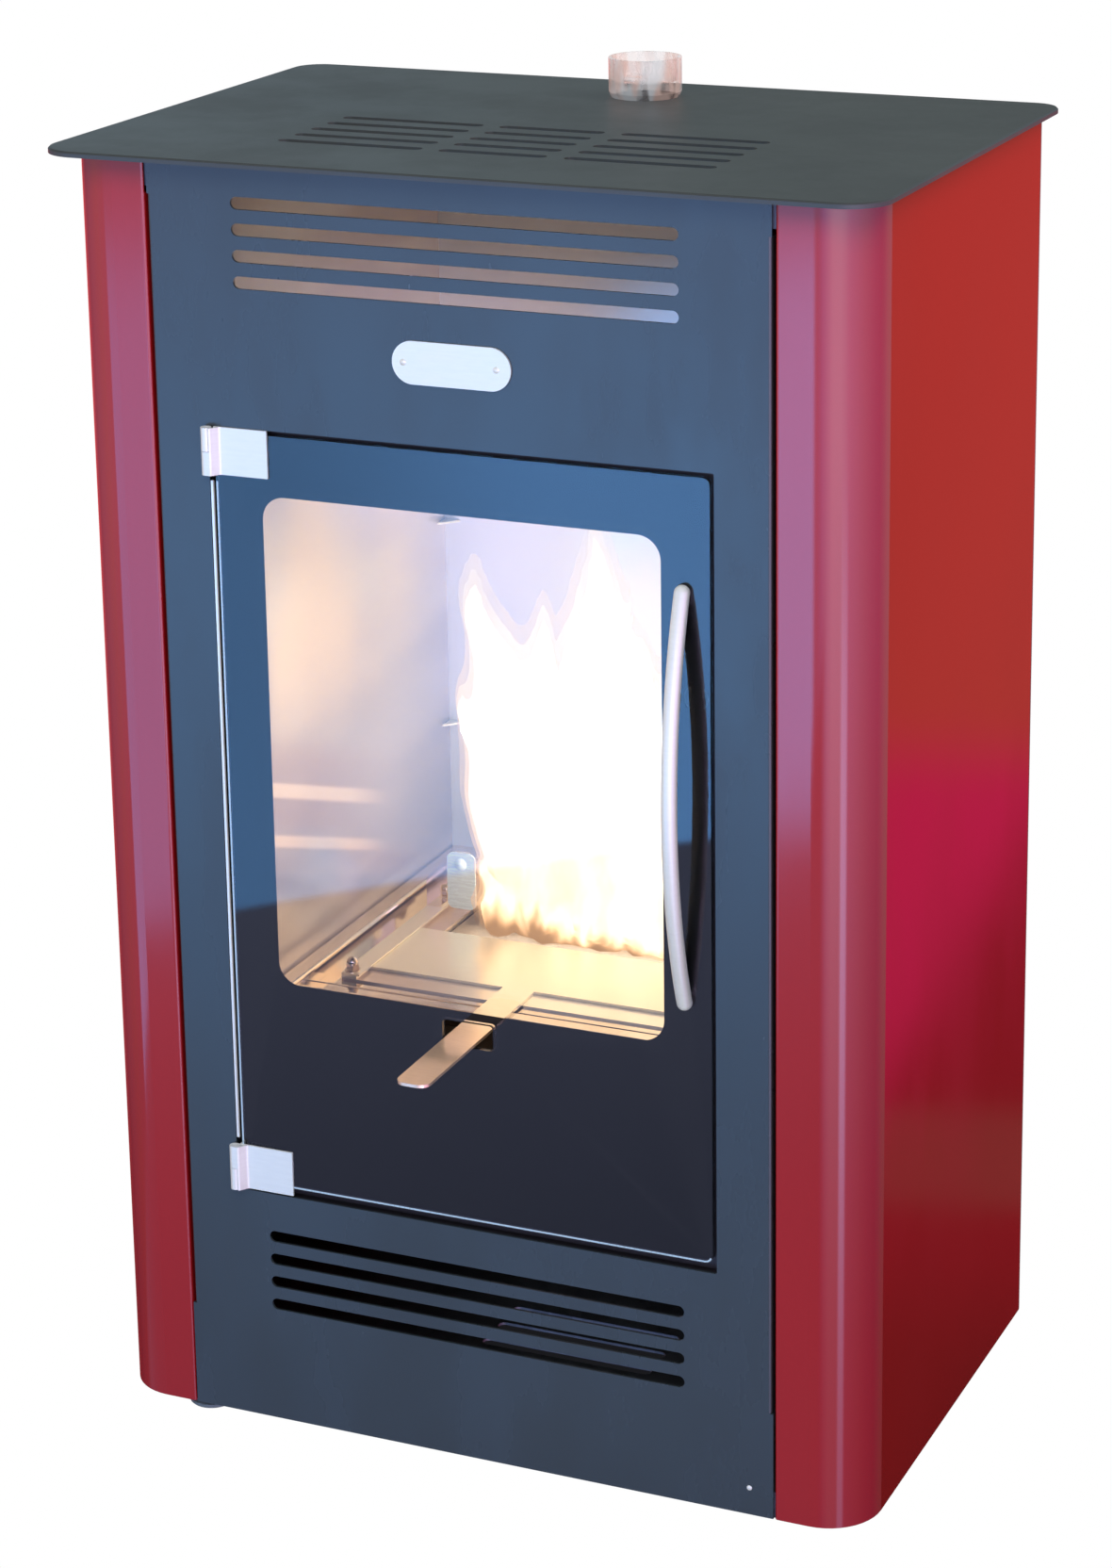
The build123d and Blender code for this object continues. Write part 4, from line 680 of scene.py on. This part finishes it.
def room_ramp(tree, azimuth):
    """The room's colour all round."""
    made = add(tree, "ShaderNodeValToRGB")
    feed(tree, made.inputs["Fac"], calc(tree, "MULTIPLY_ADD", azimuth, 1 / 360, 0.5))
    stops = made.color_ramp.elements
    while len(stops) < len(ROOM):
        stops.new(0.5)
    for stop, (place, *colour) in zip(stops, ROOM):
        stop.position = place / 360 + 0.5
        stop.color = solid([part / BRIGHTEST for part in colour])
    return scaled(tree, made.outputs["Color"], BRIGHTEST)


def side_room(tree, azimuth, height):
    """The red end of the room that the right side reflects, in bands of height."""
    slant = calc(tree, "MULTIPLY_ADD", azimuth, 1.57, -276.8)
    low = blend_colour(tree, window(tree, height, -25.5, -24.1, 0.2), solid((0.22, 0.02, 0.03)), solid((0.22, 0.08, 0.07)))
    low = blend_colour(tree, remap(tree, height, -28, -25.5), solid((0.02, 0.02, 0.02)), low)
    middle = blend_colour(tree, remap(tree, height, -19.6, -18.2), solid((1.30, 0.04, 0.24)), solid((1.00, 0.14, 0.11)))
    return blend_colour(tree, remap(tree, calc(tree, "SUBTRACT", height, slant), -0.5, 0.5), low, middle)


def add_world():
    """White behind the object, an even light on it, and a room of soft panels in its reflections."""
    world = bpy.data.worlds.new("studio")
    scene.world = world
    world.use_nodes = True
    tree = world.node_tree
    tree.nodes.clear()
    output = add(tree, "ShaderNodeOutputWorld")
    way = add(tree, "ShaderNodeTexCoord").outputs["Generated"]
    split = add(tree, "ShaderNodeSeparateXYZ")
    feed(tree, split.inputs[0], way)
    degrees = 180 / math.pi
    front = calc(tree, "MULTIPLY", split.outputs["Y"], -1.0)
    azimuth = calc(tree, "MULTIPLY", calc(tree, "ARCTAN2", split.outputs["X"], front), degrees)
    height = calc(tree, "MULTIPLY", calc(tree, "ARCSINE", split.outputs["Z"]), degrees)
    colour = scaled(tree, room_ramp(tree, azimuth), remap(tree, height, -30, -13, 0.22, 1.0))
    colour = scaled(tree, colour, remap(tree, height, -8, 30, 1.0, 0.12))

    streak = calc(tree, "MULTIPLY", window(tree, azimuth, 38, 50, 3), remap(tree, height, -14, -20))
    streak = calc(tree, "MULTIPLY", streak, remap(tree, height, -30, -22, 0.4, 1.0))
    colour = blend_colour(tree, streak, colour, solid((2.2, 2.6, 4.6)), mode="ADD")

    above = calc(tree, "SUBTRACT", height, calc(tree, "MULTIPLY_ADD", azimuth, 0.116, -17.71))
    ahead = window(tree, azimuth, -51, -10, 2)
    upper = calc(tree, "MULTIPLY", remap(tree, above, -0.1, 0.1), remap(tree, height, -12.0, -10.4, 1.0, 0.0))
    colour = blend_colour(tree, calc(tree, "MULTIPLY", ahead, upper), colour, solid((1.0, 2.30, 4.70)))
    glow = calc(tree, "MULTIPLY", window(tree, azimuth, -26, -9, 2.5), upper)
    colour = blend_colour(tree, glow, colour, solid((0.5, 1.3, 2.8)), mode="ADD")
    lower = calc(tree, "MULTIPLY", window(tree, azimuth, -78, 4, 8), remap(tree, above, -0.1, 0.1, 1.0, 0.0))
    colour = blend_colour(tree, lower, colour, scaled(tree, (0.66, 0.72, 1.15), remap(tree, height, -27, -20, 0.6, 1.0)))
    colour = blend_colour(tree, window(tree, azimuth, 158.5, 174, 1.0), colour, side_room(tree, azimuth, height))

    behind = calc(tree, "MULTIPLY", remap(tree, height, -6, 4), remap(tree, front, -0.3, -0.6))
    back = blend_colour(tree, remap(tree, azimuth, -161, -149), solid((0.16, 0.20, 0.20)), solid((0.30, 0.42, 0.50)))
    colour = blend_colour(tree, behind, colour, back)
    colour = blend_colour(tree, remap(tree, height, -50, -60), colour, solid((0.9, 0.95, 1.0)))
    path = add(tree, "ShaderNodeLightPath")
    even = blend_colour(tree, remap(tree, front, -0.3, 0.7), solid((0.16, 0.16, 0.17)), solid((0.68, 0.69, 0.71)))
    even = blend_colour(tree, remap(tree, height, 15, 75), even, solid((0.62, 0.63, 0.64)))
    base = blend_colour(tree, path.outputs["Is Glossy Ray"], even, colour)
    whole = blend_colour(tree, path.outputs["Is Camera Ray"], base, solid((1, 1, 1)))
    whole = blend_colour(tree, path.outputs["Is Transmission Ray"], whole, solid((1, 1, 1)))
    background = add(tree, "ShaderNodeBackground")
    feed(tree, background.inputs["Color"], whole)
    background.inputs["Strength"].default_value = 1.0
    tree.links.new(background.outputs[0], output.inputs["Surface"])


def add_floor():
    """A plain pale floor, white to the camera but for a shadow painted under the cabinet."""
    half = 6.0
    mesh = bpy.data.meshes.new("floor")
    mesh.from_pydata([(-half, -half, 0), (half, -half, 0), (half, half, 0), (-half, half, 0)], [], [(0, 1, 2, 3)])
    made = bpy.data.materials.new("floor")
    made.use_nodes = True
    tree = made.node_tree
    tree.nodes.clear()
    output = add(tree, "ShaderNodeOutputMaterial")
    pale = add(tree, "ShaderNodeBsdfDiffuse")
    pale.inputs["Color"].default_value = solid((0.22, 0.22, 0.23))
    split = add(tree, "ShaderNodeSeparateXYZ")
    feed(tree, split.inputs[0], local(tree))
    # A painted shadow under the cabinet's footprint
    painted_shadow = calc(tree, "MULTIPLY", window(tree, split.outputs["X"], -0.25, 0.25, 0.02),
                 window(tree, split.outputs["Y"], FACE_Y + 0.05, -FACE_Y + 0.03, 0.02))
    white = add(tree, "ShaderNodeEmission")
    feed(tree, white.inputs["Color"], blend_colour(tree, painted_shadow, solid((1, 1, 1)), solid((0.01, 0.01, 0.012))))
    white.inputs["Strength"].default_value = 1.0
    path = add(tree, "ShaderNodeLightPath")
    mix = add(tree, "ShaderNodeMixShader")
    feed(tree, mix.inputs["Fac"], path.outputs["Is Camera Ray"])
    tree.links.new(pale.outputs[0], mix.inputs[1])
    tree.links.new(white.outputs[0], mix.inputs[2])
    tree.links.new(mix.outputs[0], output.inputs["Surface"])
    mesh.materials.append(made)
    floor = bpy.data.objects.new("floor", mesh)
    floor.visible_glossy = False
    scene.collection.objects.link(floor)


add_camera()
dress_nodes()
add_flames()
add_trim()
add_panel_screw()
add_fire_light()
add_world()
add_floor()
add_area("side_key", (1.15, 0.25, 2.0), (0.3, 0.0, 0.8), (0.8, 0.8), 10.0, (1.0, 0.98, 0.95))
add_area("front_key", (0.2, -1.5, 2.0), (0.0, -0.1, 0.6), (1.0, 0.8), 12.0)
add_area("low_key", (0.28, -1.6, 0.40), (0.28, -0.2, 0.35), (0.6, 0.6), 2.0)
add_area("back_key", (0.0, 1.9, 1.3), (0.0, 0.2, 0.5), (0.8, 0.8), 16.0)
add_area("left_key", (-1.3, 1.5, 1.2), (-0.3, 0.0, 0.5), (0.8, 0.8), 20.0)

bpy.context.view_layer.update()
